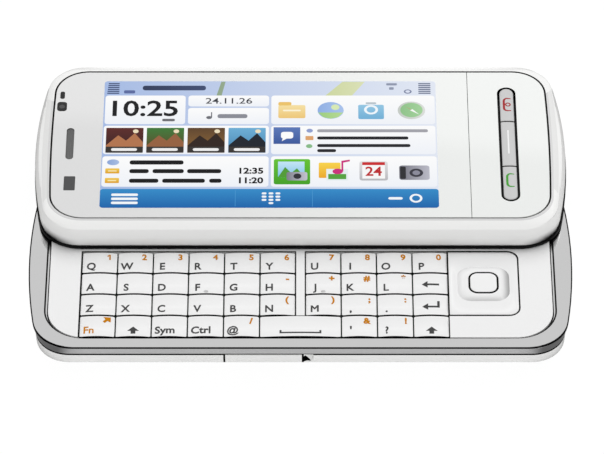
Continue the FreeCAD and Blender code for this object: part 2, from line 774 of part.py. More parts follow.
def build():
    """Every node by name."""
    seam = strip_seam / 2
    end = strip_key_span / 2
    nodes = {
        "chassis_frame": chassis_frame(),
        "keypad_deck": keypad_deck(),
        "battery_cover": battery_cover(),
        "card_door": card_door(),
        "main_board": main_board(),
        "battery": battery(),
        "rear_camera": rear_camera(),
        "slide_rails": slide_rails(),
        "navigation_key": navigation_key(),
        "select_key": select_key(),
        "volume_key": side_key(volume_x, "x", volume_length),
        "camera_key": side_key(camera_key_x, "x", camera_key_length),
        "power_key": side_key(power_y, "y", power_length),
        "upper_housing": upper_housing(),
        "front_window": front_window(),
        "front_inserts": front_inserts(),
        "display_module": display_module(),
        "slide_plate": slide_plate(),
        "call_key": strip_key(-end, -strip_seam_offset - seam, True, False),
        "menu_key": strip_key(-strip_seam_offset + seam, strip_seam_offset - seam,
                              False, False),
        "end_key": strip_key(strip_seam_offset + seam, end, False, True),
    }
    nodes.update(keyboard())
    return nodes


os.makedirs("parts", exist_ok=True)
for name, shape in build().items():
    if not shape.isValid():
        raise ValueError(name + " is not a valid shape")
    print(name, len(shape.Solids), round(shape.Volume, 2), len(shape.Faces))
    shape.exportStep("parts/" + name + ".step")
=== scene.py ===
"""Dresses a packed side-sliding phone: cover, rim, keys, front panes, screen and studio.

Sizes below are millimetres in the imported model's own frame and turn into metres when a
mesh is made. X runs along the phone, Y is the way the upper half slides, Z is up.
"""
import math

import bmesh
import bpy
import numpy as np
from mathutils.geometry import tessellate_polygon
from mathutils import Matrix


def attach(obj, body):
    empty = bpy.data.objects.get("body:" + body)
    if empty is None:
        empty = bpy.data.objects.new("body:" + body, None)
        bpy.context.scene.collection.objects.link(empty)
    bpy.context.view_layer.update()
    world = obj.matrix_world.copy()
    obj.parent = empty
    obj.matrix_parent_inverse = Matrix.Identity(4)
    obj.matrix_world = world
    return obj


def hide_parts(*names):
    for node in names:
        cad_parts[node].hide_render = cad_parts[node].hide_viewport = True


bl_info = {
    "name": "Slider Phone Dressing",
    "version": (1, 0, 0),
    "blender": (4, 5, 0),
    "location": "3D View > Sidebar > Phone",
    "description": "Builds the visible surfaces, finishes and studio of a side-sliding phone",
    "category": "Add Mesh",
}

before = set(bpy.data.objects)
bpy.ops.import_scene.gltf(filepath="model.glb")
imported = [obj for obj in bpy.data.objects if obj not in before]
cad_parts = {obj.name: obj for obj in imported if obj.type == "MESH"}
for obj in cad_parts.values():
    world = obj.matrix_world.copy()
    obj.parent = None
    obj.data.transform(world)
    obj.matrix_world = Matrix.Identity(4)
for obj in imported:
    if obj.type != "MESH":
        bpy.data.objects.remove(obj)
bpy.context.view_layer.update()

MM = 0.001

# ---- phone --------------------------------------------------------------------------
LENGTH = 113.4
WIDTH = 53.0
CORNER = 8.5
END_BOW = 131.0               # of the lower half
LID_BOW = 110.0               # of the upper half, which is a little shorter
LID_REACH = (0.9945, -0.05)   # scale and shift of the upper half along X
STRAIGHT = 1.0e6              # bow radius of an end that is straight
TRAVEL = 29.0                 # how far the upper half stands open
GAP = 0.12                    # round parts that move or are let in

# ---- lower half ---------------------------------------------------------------------
SEAM_Z = 7.9                  # where cover and rim meet
SEAM_STEP = 0.24              # height of the step between cover and rim, painted black as seam shade
BELLY_REACH = 12.6            # the long sides curve in by this much, as a quarter ellipse
END_REACH = (8.9, 3.5)        # the ends by this much, with this power instead of 2
BAND_LEAN = 0.8               # how far the side band leans in down to the seam
END_LEAN = 0.67               # the same at the ends
COVER_WALL = 1.2
COVER_FLOOR = 2.0
RIM_TOP = 10.8
GROOVE = (10.17, 10.72, 0.6)  # low edge, top edge, depth
RIM_EDGE = (0.05, 0.27)       # chamfer round the rim's top face, at the sides and ends
RIM_MOUTH = (53.0, 23.95, 8.5)     # half length, half width and corner of each opening
DECK_SEAT = (52.3, 23.95, 7.8)
DECK_WELL = (50.9, 22.55, 5.0)
BOARD_SEAT = (51.52, 23.17, 5.0)
RIM_LIP = (0.33, 0.34)        # how much shorter the mouth is, and its chamfer
DARK_END = 8.0                # reach from each end of the top chamfer painted dark, a painted dark reflection
LEDGE_Z = 10.55
SHOULDER_Z = 9.6
BOARD_TOP = 8.4
DOOR = (-15.6, 0.4, 3.0, 1.6)  # left, right, bottom, corner
DOOR_SKIN = 1.1
NAIL = (1.15, 4.1)            # radius, bottom
SIDE_KEYS = ((-26.0, "x", 20.0), (38.0, "x", 8.0), (0.0, "y", 8.0))
SIDE_KEY_Z = (8.25, 9.75)     # of the three keys above: centre, side and span
SIDE_KEY_POCKET = 1.7
CAMERA_STRIP = (-34.2, 10.4, 25.0, 3.0)       # X, across, along, corner
JACK = (12.0, 5.6, 2.1)       # Y, Z and radius of its opening
JACK_POCKET = (-50.65, -30.0, 9.05, 14.95, 2.65, SEAM_Z + 1)
DATA_SOCKET = (-57.7, -47.3, -13.1, -4.9, 4.8, 7.75)
CATCH = ((0.05, 5.0), (1.7, 5.0), (1.7, 5.3), (0.6, 6.6), (0.05, 6.6))   # X from the door, Z

# ---- keys ---------------------------------------------------------------------------
PITCH = (7.43, 6.34)          # across and along
KEY_GAP = (0.24, 0.44)        # across and along; the caps stand inside their solids
KEYS_LEFT = -45.58
RIB = 1.0                     # half width of the rib between the two key blocks
KEYS_BACK = 1.71
KEY_CREST = 11.05
KEY_LOW = 9.95
NAV_CENTRE = (38.03, -7.615)
NAV_SIZE = (14.62, 18.95, 2.1)     # across, along, corner
SELECT_CENTRE = (38.03, -7.515)
PAD_SIZE = (10.8, 10.1, 2.8)
PAD_SLOPE = (2.2, 1.6)        # width of its slopes, across and along
PAD_MOAT = 0.35               # how far the plate dips round the pad
SELECT_LOOK = (2.75, 2.82, 1.6)   # half sizes and corner of the select cap
SELECT_SHIFT = -0.08
SELECT_GAP = (0.40, 0.50, 0.33)   # at the sides, in front and behind
NAV_LOW = 9.3
NAV_STEPS = (6, 6)            # points along a side and round a corner
MARK_STEP = 0.5               # longest edge of a mark, so that it follows the crown
MARK_RISE = (0.035, 0.06)     # height over the cap and thickness

# ---- upper half ---------------------------------------------------------------------
HOUSING_LOW = 11.75
WIDEST_Z = 14.0
FLANK_POWERS = (2, 1.25)      # of the curve below and above the widest line
CREASE_Z = 15.82
LID_TOP = 16.8
CREASE_INSET = 0.8
FOOT_INSET = 0.3
SKIRT_LOW = 11.08             # black skirt under the upper half, just above the keys; its black is partly painted shadow
PANE = (53.2, 23.13, 7.1, 420.0)   # half length, half width, corner, bow of the ends
PANE_LOW = 15.6
LEDGE_LOW = 15.0
PANE_GROOVE = 0.15            # from the pane's nominal outline out to the frame
PANE_EDGE = 0.2               # and in to the pane's own edge
BEVEL_LAND = 0.15             # flat between the bevel and the groove
PANE_SEAM = (35.79, 35.91)
STRIP_X = 44.2
STRIP_SLOT = (4.0, 36.05)
STRIP_KEY = (2.95, 35.0)
STRIP_SEAM = (6.9, 7.24)
STRIP_TOP = 16.92
STRIP_LOW = 14.7
STRIP_CROWN = (0.025, 0.15)   # how far below its box a front key's crest and edges lie
FRONT_WELL = (36.85, 52.2, -22.13, 22.13, 14.2, 15.0)
PANE_CUT = (14.0, 18.0)       # heights between which openings are cut in the panes
SCREEN_CORNER = (-42.15, 8.97)     # left and front corner of the lit area, phone open
SCREEN_STEP = (0.012, 0.014)  # height of its lowest layer, and of each one more
FACE_SHADE = "Shade"          # name of the colour attribute that the screen reads

# ---- studio -------------------------------------------------------------------------
WHITE = (1.0, 1.0, 1.0, 1.0)
PAPER_WHITE = 1.03            # strength at which the floor shows white
PAPER_GLOW = 0.2              # the share that every ray sees of it
PAPER_TONES = (0.9, 0.03)     # its plain white, and where gloss sees it dark, a painted reflection
PAPER_GLOSS_DARK_SPAN = (44.0, 54.0)     # |X| over which gloss sees the paper darken, a painted reflection
FLAG_SHIFT = 0.12             # the two flags stand a little off the middle
FLAG_SPAN = (0.25, 0.7)       # and close in over this reach of the direction's X
GLOSS_WALLS = (0.74, 0.95, 0.78, 0.25)     # heights, and levels that gloss sees there
GLOSS_STEP = (0.6672, 0.6702, 0.95)        # heights of the bright step, and its level
GLOSS_STEP_FOOT = (0.6, 0.64)
GLOSS_TILT = (-0.056, 0.0, 1.0)            # the way along which those heights count
LAMP_SIZE = (1.4, 0.8)
LAMP_PLACE = (0.1, 0.5, 0.9)
LAMP_TURN = (-29.0, 5.0)                   # degrees about X and Y
CAMERA_PITCH = 0.7524
CAMERA_TARGET = (0.3174, 3.0816, LID_TOP)
CAMERA_BACK = 1006.218


# ---- colours ------------------------------------------------------------------------
def linear(code):
    """Linear RGBA of an sRGB hex colour such as 'f0f0f0'."""
    parts = np.array([int(code[i:i + 2], 16) for i in (0, 2, 4)]) / 255.0
    flat = np.where(parts <= 0.04045, parts / 12.92, ((parts + 0.055) / 1.055) ** 2.4)
    return (*flat.tolist(), 1.0)


# ---- materials ----------------------------------------------------------------------
def add(tree, kind, inputs=None, **settings):
    """One node with its settings; an input is a value or another node's output socket."""
    node = tree.nodes.new("ShaderNode" + kind)
    for key, value in settings.items():
        setattr(node, key, value)
    for key, value in (inputs or {}).items():
        if isinstance(value, bpy.types.NodeSocket):
            tree.links.new(value, node.inputs[key])
        else:
            node.inputs[key].default_value = value
    return node


def fresh(name):
    """A new material, its node tree and its shader."""
    material = bpy.data.materials.new(name)
    material.use_nodes = True
    tree = material.node_tree
    return material, tree, tree.nodes["Principled BSDF"]


def surfaced(name, colour, rough, spread=0.03, grain=1.0, stretch=(1, 1, 1), relief=0.0,
             shade=0.03, **sockets):
    """Finish with a fine grain in its gloss, relief and colour.

    grain is the size of one patch and relief the height of the bumps, both in mm;
    stretch draws the patches out along an axis, as brushing does.
    """
    if name in bpy.data.materials:
        return bpy.data.materials[name]
    material, tree, shader = fresh(name)
    place = add(tree, "TexCoord")
    spun = add(tree, "Mapping", {"Vector": place.outputs["Object"], "Scale": stretch})
    noise = add(tree, "TexNoise", {"Vector": spun.outputs["Vector"],
                                   "Scale": 1 / (grain * MM), "Detail": 3.0})
    gloss = add(tree, "MapRange", {"Value": noise.outputs["Fac"],
                                   "To Min": max(rough - spread, 0.0),
                                   "To Max": rough + spread})
    tree.links.new(gloss.outputs["Result"], shader.inputs["Roughness"])
    base = linear(colour)
    low = tuple(c * (1 - shade) for c in base[:3]) + (1.0,)
    mix = add(tree, "Mix", {"Factor": noise.outputs["Fac"], 6: low, 7: base},
              data_type="RGBA")
    tree.links.new(mix.outputs[2], shader.inputs["Base Color"])
    if relief:
        bump = add(tree, "Bump", {"Height": noise.outputs["Fac"], "Strength": 1.0,
                                  "Distance": relief * MM})
        tree.links.new(bump.outputs["Normal"], shader.inputs["Normal"])
    for key, value in sockets.items():
        shader.inputs[key.replace("_", " ")].default_value = value
    return material


def lip_painted_shade(tone):
    """White lacquer painted grey over the frame's inner lip, as painted shade along it."""
    return surfaced("painted lip shade " + tone, tone, 0.25, grain=2.5, shade=0.01, IOR=1.45)


# white lacquer over polycarbonate, and bare glossy ABS
LACQUER = {"rough": 0.2, "grain": 2.5, "relief": 0.0012, "shade": 0.01, "IOR": 1.5,
           "Coat_Weight": 0.3, "Coat_Roughness": 0.06}
GLOSS_ABS = {"rough": 0.12, "grain": 3.0, "relief": 0.0008, "shade": 0.01, "IOR": 1.5,
             "Coat_Weight": 0.25, "Coat_Roughness": 0.04}


def lacquered_white():
    """Moulded polycarbonate under white lacquer: bright, even, with a soft orange peel."""
    return surfaced("lacquered white polycarbonate", "f6f6f5", **LACQUER)


def blended(material, near, far, steps, operation="MULTIPLY"):
    """Takes a finish's colour from near to far by smooth steps along the object's axes.

    A step is (axis, start, end) in mm, rising from 0 to 1; "|X|" is the distance from the
    middle. The shares of several steps are combined by the operation.
    """
    tree = material.node_tree
    if "share of far" in tree.nodes:
        return material
    place = add(tree, "TexCoord")
    split = add(tree, "SeparateXYZ", {"Vector": place.outputs["Object"]})
    share = None
    for axis, start, end in steps:
        along = split.outputs[axis.strip("|")]
        if axis == "|X|":
            along = add(tree, "Math", {0: along}, operation="ABSOLUTE").outputs[0]
        rise = add(tree, "MapRange", {
            "Value": along, "From Min": min(start, end) * MM, "From Max": max(start, end) * MM,
            "To Min": float(start > end), "To Max": float(start < end)},
            interpolation_type="SMOOTHSTEP").outputs["Result"]
        share = rise if share is None else add(tree, "Math", {0: share, 1: rise},
                                               operation=operation).outputs[0]
    mix = add(tree, "Mix", {"Factor": share, 6: linear(near), 7: linear(far)},
              data_type="RGBA", name="share of far")
    tree.links.new(mix.outputs[2], tree.nodes["Principled BSDF"].inputs["Base Color"])
    return material


def side_white_painted_shade():
    """White lacquer of the upper half, with painted shade: darker low down under its front
    corners.
    """
    return blended(surfaced("lacquered white frame with painted shade", "f6f6f5", **LACQUER), "f6f6f5", "404040",
                   [("|X|", 45, 52), ("Z", 14.3, 11.9), ("Y", 10, 5)])


def pad_white_painted_shade():
    """Gloss white of the four-way pad, painted grey towards the foot of its right and front
    slopes as painted shade.
    """
    x, y = SELECT_CENTRE
    return blended(surfaced("gloss moulded white pad with painted shade", "f0f0f0", **GLOSS_ABS), "f0f0f0",
                   "a2a2a2", [("X", x + 3.4, x + 5.6), ("Y", y - 3.9, y - 6.6)], "MAXIMUM")


def moulded_deck_white():
    """Gloss moulded ABS of the keyboard deck: a clear, slightly cool white."""
    return surfaced("gloss moulded white ABS", "f0f0f0", **GLOSS_ABS)


def keycap_white():
    """Clear-coated moulded keycap: white with a soft sheen that shows each cap's crown."""
    return surfaced("clear-coated white keycap", "f1f1f1", 0.22, grain=2.0, relief=0.0008,
                    shade=0.01, IOR=1.49, Coat_Weight=0.4, Coat_Roughness=0.08)


def satin_rim():
    """Plated zinc rim: even light grey that mirrors only what stands close above it."""
    return surfaced("smooth plated zinc rim", "e0e0e0", 0.025, 0.015, 0.6, shade=0.02,
                    Metallic=1.0)


def polished_band():
    """Polished plated zinc: sharp dark and light streaks along the side band."""
    return surfaced("polished plated zinc band", "b9b9ba", 0.06, 0.02, 0.4, (0.2, 0.2, 1),
                    0.0003, Metallic=1.0)


def painted_pane():
    """Clear acrylic front pane painted white behind, under deep gloss.

    Its colour is painted darker towards the sensor end, a painted reflection that runs across
    the pane.
    """
    material = surfaced("back-painted acrylic pane", "eaecea", 0.12, 0.02, 4.0,
                        relief=0.0003, shade=0.01, IOR=1.4, Coat_Weight=1.0,
                        Coat_Roughness=0.015)
    # painted reflection: the colour darkens from X 40 towards X -50
    return blended(material, "dadada", "eaecea", [("X", -50, 40)])


def edge_ink_and_groove_shade():
    """Black ink on the pane's cut edges, also laid on the frame's groove walls as painted
    shade: the dark line round it.
    """
    return surfaced("black edge ink and painted groove shade", "0b0b0c", 0.4, IOR=1.49, Specular_IOR_Level=0.15)


def painted_gap_shade():
    """Black laid on the sides and walls of gaps, seams and recesses as painted shade, so that
    the gaps look dark.
    """
    return surfaced("black painted gap shade", "0c0c0d", 0.6, IOR=1.41,
                    Specular_IOR_Level=0.15)


def strip_key_grey():
    """Moulded key in satin light grey paint."""
    return surfaced("satin grey painted key", "c9c9c9", 0.3, grain=0.2, relief=0.0008,
                    IOR=1.5, Coat_Weight=0.2)


def matte_black():
    """Moulded black polycarbonate with a fine spark-eroded texture."""
    return surfaced("textured black polycarbonate", "101011", 0.45, 0.06, 0.15, relief=0.003,
                    IOR=1.5)


def smoked_window():
    """Smoked acrylic sensor window: dark grey, glossy."""
    return surfaced("smoked acrylic window", "424243", 0.15, IOR=1.4)


def grey_ink():
    """Pad-printed dark grey ink: almost matte on the glossy cap."""
    return surfaced("pad-printed grey ink", "404040", 0.6, IOR=1.35)


def orange_ink():
    """Pad-printed orange ink of the second key level."""
    return surfaced("pad-printed orange ink", "c87f08", 0.6, IOR=1.35,
                    Specular_IOR_Level=0.15)


def red_ink():
    """Red printed call-end mark."""
    return surfaced("printed red ink", "a8181e", 0.45, IOR=1.45)


def green_ink():
    """Green printed call mark."""
    return surfaced("printed green ink", "3aa01e", 0.45, IOR=1.45)


def white_ink():
    """White printed mark."""
    return surfaced("printed white ink", "f4f4f4", 0.45, IOR=1.45)


def black_steel():
    """Stamped steel under black electrocoat: even, with a fine satin sheen."""
    return surfaced("black coated sheet steel", "070708", 0.5, 0.05, 0.3, relief=0.0015,
                    IOR=1.5, Specular_IOR_Level=0.12)


def brushed_steel():
    """Brushed stainless strip: fine lines along the slide."""
    return surfaced("brushed stainless strip", "a9a9ac", 0.28, 0.08, 0.25, (1, 0.03, 1),
                    0.0015, Metallic=1.0)


def side_key_metal():
    """Plated moulded key: bright, with softly blurred reflections."""
    return surfaced("satin plated side key", "c9cacc", 0.2, 0.04, 0.2, relief=0.0005,
                    Metallic=1.0)


def solder_mask():
    """Glass-epoxy board under dark green solder mask, its weave faintly raised."""
    return surfaced("green solder mask board", "1c4a35", 0.35, 0.05, 0.4, relief=0.004,
                    shade=0.25, IOR=1.5)


def battery_wrap():
    """Battery can in dark printed film."""
    return surfaced("battery film wrap", "34363c", 0.4, 0.05, 0.8, relief=0.002, IOR=1.5)


def lens_glass():
    """Coated lens: near black, mirror gloss."""
    return surfaced("coated lens glass", "0a0c12", 0.04, 0.01, IOR=1.55, Coat_Weight=1.0,
                    Coat_Roughness=0.01)


def woven_grille():
    """Earpiece grille of woven steel wire at 0.35 mm pitch, seen as fine grey rows."""
    material, tree, shader = fresh("woven wire grille")
    place = add(tree, "TexCoord")
    rows = [add(tree, "TexWave",
                {"Vector": place.outputs["Object"], "Scale": 0.314 / (0.35 * MM)},
                bands_direction=axis) for axis in ("X", "Y")]
    weave = add(tree, "Math", {0: rows[0].outputs["Fac"], 1: rows[1].outputs["Fac"]},
                operation="MULTIPLY")
    mix = add(tree, "Mix", {"Factor": weave.outputs[0], 6: linear("6a6a6a"),
                            7: linear("8c8c8c")}, data_type="RGBA")
    bump = add(tree, "Bump", {"Height": weave.outputs[0], "Distance": 0.08 * MM})
    tree.links.new(mix.outputs[2], shader.inputs["Base Color"])
    tree.links.new(bump.outputs["Normal"], shader.inputs["Normal"])
    shader.inputs["Metallic"].default_value = 0.5
    shader.inputs["Roughness"].default_value = 0.4
    return material


def lit_display():
    """Backlit display under clear acrylic: its own light, with the pane's gloss over it."""
    material, tree, shader = fresh("backlit liquid crystal display")
    shade = add(tree, "Attribute", attribute_name=FACE_SHADE)
    place = add(tree, "TexCoord")
    # the panel's columns are 0.11 mm apart, and drawn at 0.22 mm as a faint ripple
    rows = add(tree, "TexWave", {"Vector": place.outputs["Object"],
                                 "Scale": 0.314 / (0.22 * MM)})
    ripple = add(tree, "MapRange", {"Value": rows.outputs["Fac"], "To Min": 0.97,
                                    "To Max": 1.0})
    tinted = add(tree, "VectorMath", {0: shade.outputs["Color"], 1: ripple.outputs["Result"]},
                 operation="MULTIPLY")
    tree.links.new(tinted.outputs[0], shader.inputs["Emission Color"])
    shader.inputs["Emission Strength"].default_value = 0.97
    shader.inputs["Base Color"].default_value = linear("050506")
    shader.inputs["Roughness"].default_value = 0.12
    shader.inputs["IOR"].default_value = 1.18
    return material


# ---- outlines and sweeps --------------------------------------------------------------
def bowed_outline(half_length, half_width, corner, bow):
    """Closed outline, counter-clockwise, as an (N, 2) array.

    The right end is an arc of radius bow centred on the X axis, each corner an arc that
    touches that end and the straight long side; the left half is the right one turned by
    half a turn, which is the negated array.
    """
    centre = half_length - bow
    corner_y = half_width - corner
    corner_x = centre + math.sqrt((bow - corner) ** 2 - corner_y ** 2)
    lean = math.atan2(corner_y, corner_x - centre)
    end = np.linspace(-lean, lean, 12, endpoint=False)
    near = np.linspace(lean, math.pi / 2, 14, endpoint=False)
    side = np.linspace(corner_x, -corner_x, 10, endpoint=False)
    far = np.linspace(math.pi / 2, math.pi - lean, 14, endpoint=False)
    x = [centre + bow * np.cos(end), corner_x + corner * np.cos(near), side,
         corner * np.cos(far) - corner_x]
    y = [bow * np.sin(end), corner_y + corner * np.sin(near), np.full(10, half_width),
         corner_y + corner * np.sin(far)]
    half = np.column_stack([np.concatenate(x), np.concatenate(y)])
    return np.concatenate([half, -half])


def body_outline(inset, ends=None, corner=None):
    """The lower half's outline drawn in by inset, and at its ends by their own inset."""
    ends = inset if ends is None else ends
    return bowed_outline(LENGTH / 2 - ends, WIDTH / 2 - inset,
                         max(CORNER - inset if corner is None else corner, 0.5),
                         END_BOW - inset)


def lid_outline(inset):
    """The upper half's outline drawn in by inset."""
    return squeezed(bowed_outline(LENGTH / 2 - inset, WIDTH / 2 - inset,
                                  max(CORNER - inset, 0.5), LID_BOW - inset))


def squeezed(outline):
    """An outline brought to the upper half's own length."""
    scale, shift = LID_REACH
    return outline * (scale, 1.0) + (shift, 0.0)


def pane_outline(inset):
    """The front panes' outline drawn in by inset."""
    return squeezed(bowed_outline(*(size - inset for size in PANE)))


def rounded_outline(half_x, half_y, radii, centre=(0.0, 0.0), side=5, steps=5):
    """Closed rounded rectangle, counter-clockwise, as an (N, 2) array.

    radii are those of the right-front, right-back, left-back and left-front corners.
    Each corner is a quarter arc, and the straight side after it is divided evenly.
    """
    if np.isscalar(radii):
        radii = (radii,) * 4
    signs = ((1, -1), (1, 1), (-1, 1), (-1, -1))
    arcs = []
    for turn, ((sx, sy), radius) in enumerate(zip(signs, radii)):
        radius = max(min(radius, half_x * 0.999, half_y * 0.999), 0.01)
        t = np.linspace(turn - 1, turn, steps + 1) * math.pi / 2
        arcs.append(np.column_stack([sx * (half_x - radius) + radius * np.cos(t),
                                     sy * (half_y - radius) + radius * np.sin(t)]))
    parts = []
    for here, after in zip(arcs, arcs[1:] + arcs[:1]):
        share = np.linspace(0, 1, side + 2)[1:-1, None]
        parts += [here, here[-1] * (1 - share) + after[0] * share]
    return np.concatenate(parts) + np.array(centre)


def stack(outlines, heights):
    """Rows of points (M, N, 3): each outline at its height, one number or one a point."""
    rows = [np.column_stack([outline, np.broadcast_to(z, len(outline))])
            for outline, z in zip(outlines, heights)]
    return np.array(rows)


def sweep(rows, closed=False):
    """Points and faces of a surface through the rows, each a closed loop.

    Face (i, j) joins point j and j + 1 of row i with those of row i + 1; the last row
    joins the first when closed, or else the first and last rows get a face each.
    """
    count, size = rows.shape[:2]
    index = np.arange(count * size).reshape(count, size)
    low = index if closed else index[:-1]
    high = np.roll(index, -1, axis=0) if closed else index[1:]
    quads = np.stack([low, np.roll(low, -1, axis=1), np.roll(high, -1, axis=1), high], axis=-1)
    faces = quads.reshape(-1, 4).tolist()
    if not closed:
        faces += [index[0, ::-1].tolist(), index[-1].tolist()]
    return rows.reshape(-1, 3), faces


def ringed(profile, closed=False):
    """Shape through the rings of a profile, and the finish number of each face.

    A row of the profile is an outline, its height and the finish of the band that runs
    from it to the next ring, 0 where it is left out. Height and finish are one number or
    one a point. The two faces that end an open shape have finish 0.
    """
    outlines, heights, finishes = zip(*((*row, 0)[:3] for row in profile))
    rows = stack(outlines, heights)
    shape = sweep(rows, closed)
    picks = np.zeros(len(shape[1]), dtype=int)
    bands = [np.broadcast_to(finish, rows.shape[1]) for finish in finishes]
    bands = np.concatenate(bands if closed else bands[:-1])
    picks[:len(bands)] = bands
    return shape, picks


def prism(outline, low, high):
    """Upright solid of a flat outline."""
    return sweep(stack([outline, outline], [low, high]))


def crate(x0, x1, y0, y1, z0, z1):
    """Box between two corners, for cutting."""
    outline = np.array([(x1, y0), (x1, y1), (x0, y1), (x0, y0)])
    return prism(outline, z0, z1)


FROM_FRONT = (0, 2, 1)        # an outline in X and Z, pulled along Y
FROM_END = (2, 0, 1)          # an outline in Y and Z, pulled along X


def pulled(outline, start, end, axes):
    """Solid of an outline pulled along another axis."""
    points, faces = prism(outline, start, end)
    return points[:, axes], faces


def moved(shape, shift):
    """A shape's points shifted by a vector."""
    return shape[0] + np.array(shift), shape[1]


def in_lid(shape):
    """A shape drawn for the closed phone, at the open place of the upper half."""
    return moved(shape, (0.0, TRAVEL, 0.0))


# ---- flat marks ---------------------------------------------------------------------
CAPITAL = 0.682               # capital height of the built-in letters at size 1
TWIN_SIGNS = ("M", "4")
glyph_store = {}


def glyphs(text, weight=0.0):
    """Flat outline text as points (N, 2) and triangles (M, 3), one unit high in capitals.

    Strokes grow by an outline offset, or by twin copies set apart for the two signs whose
    sharp inner corners an offset would break.
    """
    key = (text, weight)
    if key not in glyph_store:
        twin = weight and text in TWIN_SIGNS
        curve = bpy.data.curves.new("mark", "FONT")
        curve.body = text
        curve.resolution_u = 3
        curve.dimensions = "2D"
        curve.fill_mode = "FRONT"
        curve.offset = 0.0 if twin else weight
        holder = bpy.data.objects.new("mark", curve)
        bpy.context.scene.collection.objects.link(holder)
        bpy.context.view_layer.update()
        ready = holder.evaluated_get(bpy.context.evaluated_depsgraph_get())
        mesh = bpy.data.meshes.new_from_object(ready)
        points = np.zeros(len(mesh.vertices) * 3)
        mesh.vertices.foreach_get("co", points)
        mesh.calc_loop_triangles()
        corners = np.zeros(len(mesh.loop_triangles) * 3, dtype=np.int64)
        mesh.loop_triangles.foreach_get("vertices", corners)
        bpy.data.objects.remove(holder)
        bpy.data.curves.remove(curve)
        bpy.data.meshes.remove(mesh)
        points = points.reshape(-1, 3)[:, :2]
        corners = corners.reshape(-1, 3)
        if twin:
            corners = np.concatenate([corners, corners + len(points)])
            points = np.concatenate([points - (weight, 0.0), points + (weight, 0.0)])
        glyph_store[key] = (points / CAPITAL, corners)
    points, corners = glyph_store[key]
    return points.copy(), corners.copy()


def lettered(text, height, left=None, right=None, middle=None, base=0.0, narrow=0.8,
             weight=0.0):
    """Text scaled to a capital height, set by its left edge, right edge or middle."""
    points, corners = glyphs(text, weight)
    points *= np.array([height * narrow, height])
    low, high = points[:, 0].min(), points[:, 0].max()
    if left is not None:
        shift = left - low
    elif right is not None:
        shift = right - high
    else:
        shift = middle - (low + high) / 2
    return points + np.array([shift, base]), corners


def filled(outline, step=None):
    """Points and triangles of a flat outline, cut across X at each step when given.

    The cuts let a long mark follow a crowned surface.
    """
    outline = np.asarray(outline, dtype=float)
    if not step:
        corners = tessellate_polygon([[(x, y, 0.0) for x, y in outline]])
        return outline, np.array(corners)
    edit = bmesh.new()
    edit.faces.new([edit.verts.new((x, y, 0.0)) for x, y in outline])
    for x in np.arange(outline[:, 0].min() + step, outline[:, 0].max(), step):
        everything = edit.verts[:] + edit.edges[:] + edit.faces[:]
        bmesh.ops.bisect_plane(edit, geom=everything, plane_co=(x, 0, 0), plane_no=(1, 0, 0))
    bmesh.ops.triangulate(edit, faces=edit.faces[:])
    edit.verts.index_update()
    points = np.array([vert.co[:2] for vert in edit.verts])
    corners = np.array([[vert.index for vert in face.verts] for face in edit.faces])
    edit.free()
    return points, corners


def slab(flat, top, depth):
    """Closed sheet below a flat shape: its top at height top, one number or one a point.

    The triangles are copied to the underside, and every edge that only one triangle
    uses gets a side face.
    """
    points, corners = flat
    a, b, c = (points[corners[:, i]] for i in range(3))
    turn = (b[:, 0] - a[:, 0]) * (c[:, 1] - a[:, 1]) - (b[:, 1] - a[:, 1]) * (c[:, 0] - a[:, 0])
    corners = corners[np.abs(turn) > 1e-9]
    turn = turn[np.abs(turn) > 1e-9]
    corners = np.where(turn[:, None] > 0, corners, corners[:, ::-1])
    count = len(points)
    z = np.broadcast_to(top, count)
    upper = np.column_stack([points, z])
    lower = np.column_stack([points, z - depth])
    edges = np.concatenate([corners[:, (0, 1)], corners[:, (1, 2)], corners[:, (2, 0)]])
    codes = edges[:, 0] * count + edges[:, 1]
    rim = edges[~np.isin(codes, edges[:, 1] * count + edges[:, 0])]
    sides = np.column_stack([rim[:, 0] + count, rim[:, 1] + count, rim[:, 1], rim[:, 0]])
    faces = corners.tolist() + (corners[:, ::-1] + count).tolist() + sides.tolist()
    return np.concatenate([upper, lower]), faces


def joined(shapes):
    """Several shapes as one, with the number of faces of each."""
    points, faces, sizes, start = [], [], [], 0
    for part, own in shapes:
        points.append(part)
        faces += [[i + start for i in face] for face in own]
        sizes.append(len(own))
        start += len(part)
    return (np.concatenate(points), faces), sizes


def ring_band(outer, inner, closed=True):
    """Flat band between two closed or open lines of the same number of points."""
    count = len(outer)
    near = np.arange(count if closed else count - 1)
    after = (near + 1) % count
    corners = np.concatenate([np.column_stack([near, after, after + count]),
                              np.column_stack([near, after + count, near + count])])
    return np.concatenate([outer, inner]), corners


def circle(x, y, radius, count=24, squash=1.0):
    """Circle or ellipse as an (N, 2) array."""
    t = np.linspace(0, 2 * math.pi, count, endpoint=False)
    return np.column_stack([x + radius * np.cos(t), y + radius * squash * np.sin(t)])


# ---- pieces -------------------------------------------------------------------------
def new_object(name, shape, materials=(), picks=None):
    """Object of a shape in millimetres, its faces given materials by picks."""
    points, faces = shape
    mesh = bpy.data.meshes.new(name)
    mesh.from_pydata((points * MM).tolist(), [], faces)
    for material in materials:
        mesh.materials.append(material)
    if picks is not None:
        mesh.polygons.foreach_set("material_index", np.asarray(picks, dtype=np.int32))
    mesh.update()
    piece = bpy.data.objects.new(name, mesh)
    bpy.context.scene.collection.objects.link(piece)
    return piece


def carve(piece, shapes, operation="DIFFERENCE", wall=0):
    """Cuts shapes out of a piece, or keeps only what lies inside them.

    The cut walls take the piece's material number wall.
    """
    cutters = [new_object("cutter", shape, picks=np.full(len(shape[1]), wall))
               for shape in shapes]
    for cutter in cutters:
        turn_outwards(cutter.data)
        step = piece.modifiers.new("carve", "BOOLEAN")
        step.operation = operation
        step.solver = "EXACT"
        step.object = cutter
    bpy.context.view_layer.update()
    ready = piece.evaluated_get(bpy.context.evaluated_depsgraph_get())
    mesh = bpy.data.meshes.new_from_object(ready)
    piece.modifiers.clear()
    piece.data = mesh
    for cutter in cutters:
        bpy.data.objects.remove(cutter)


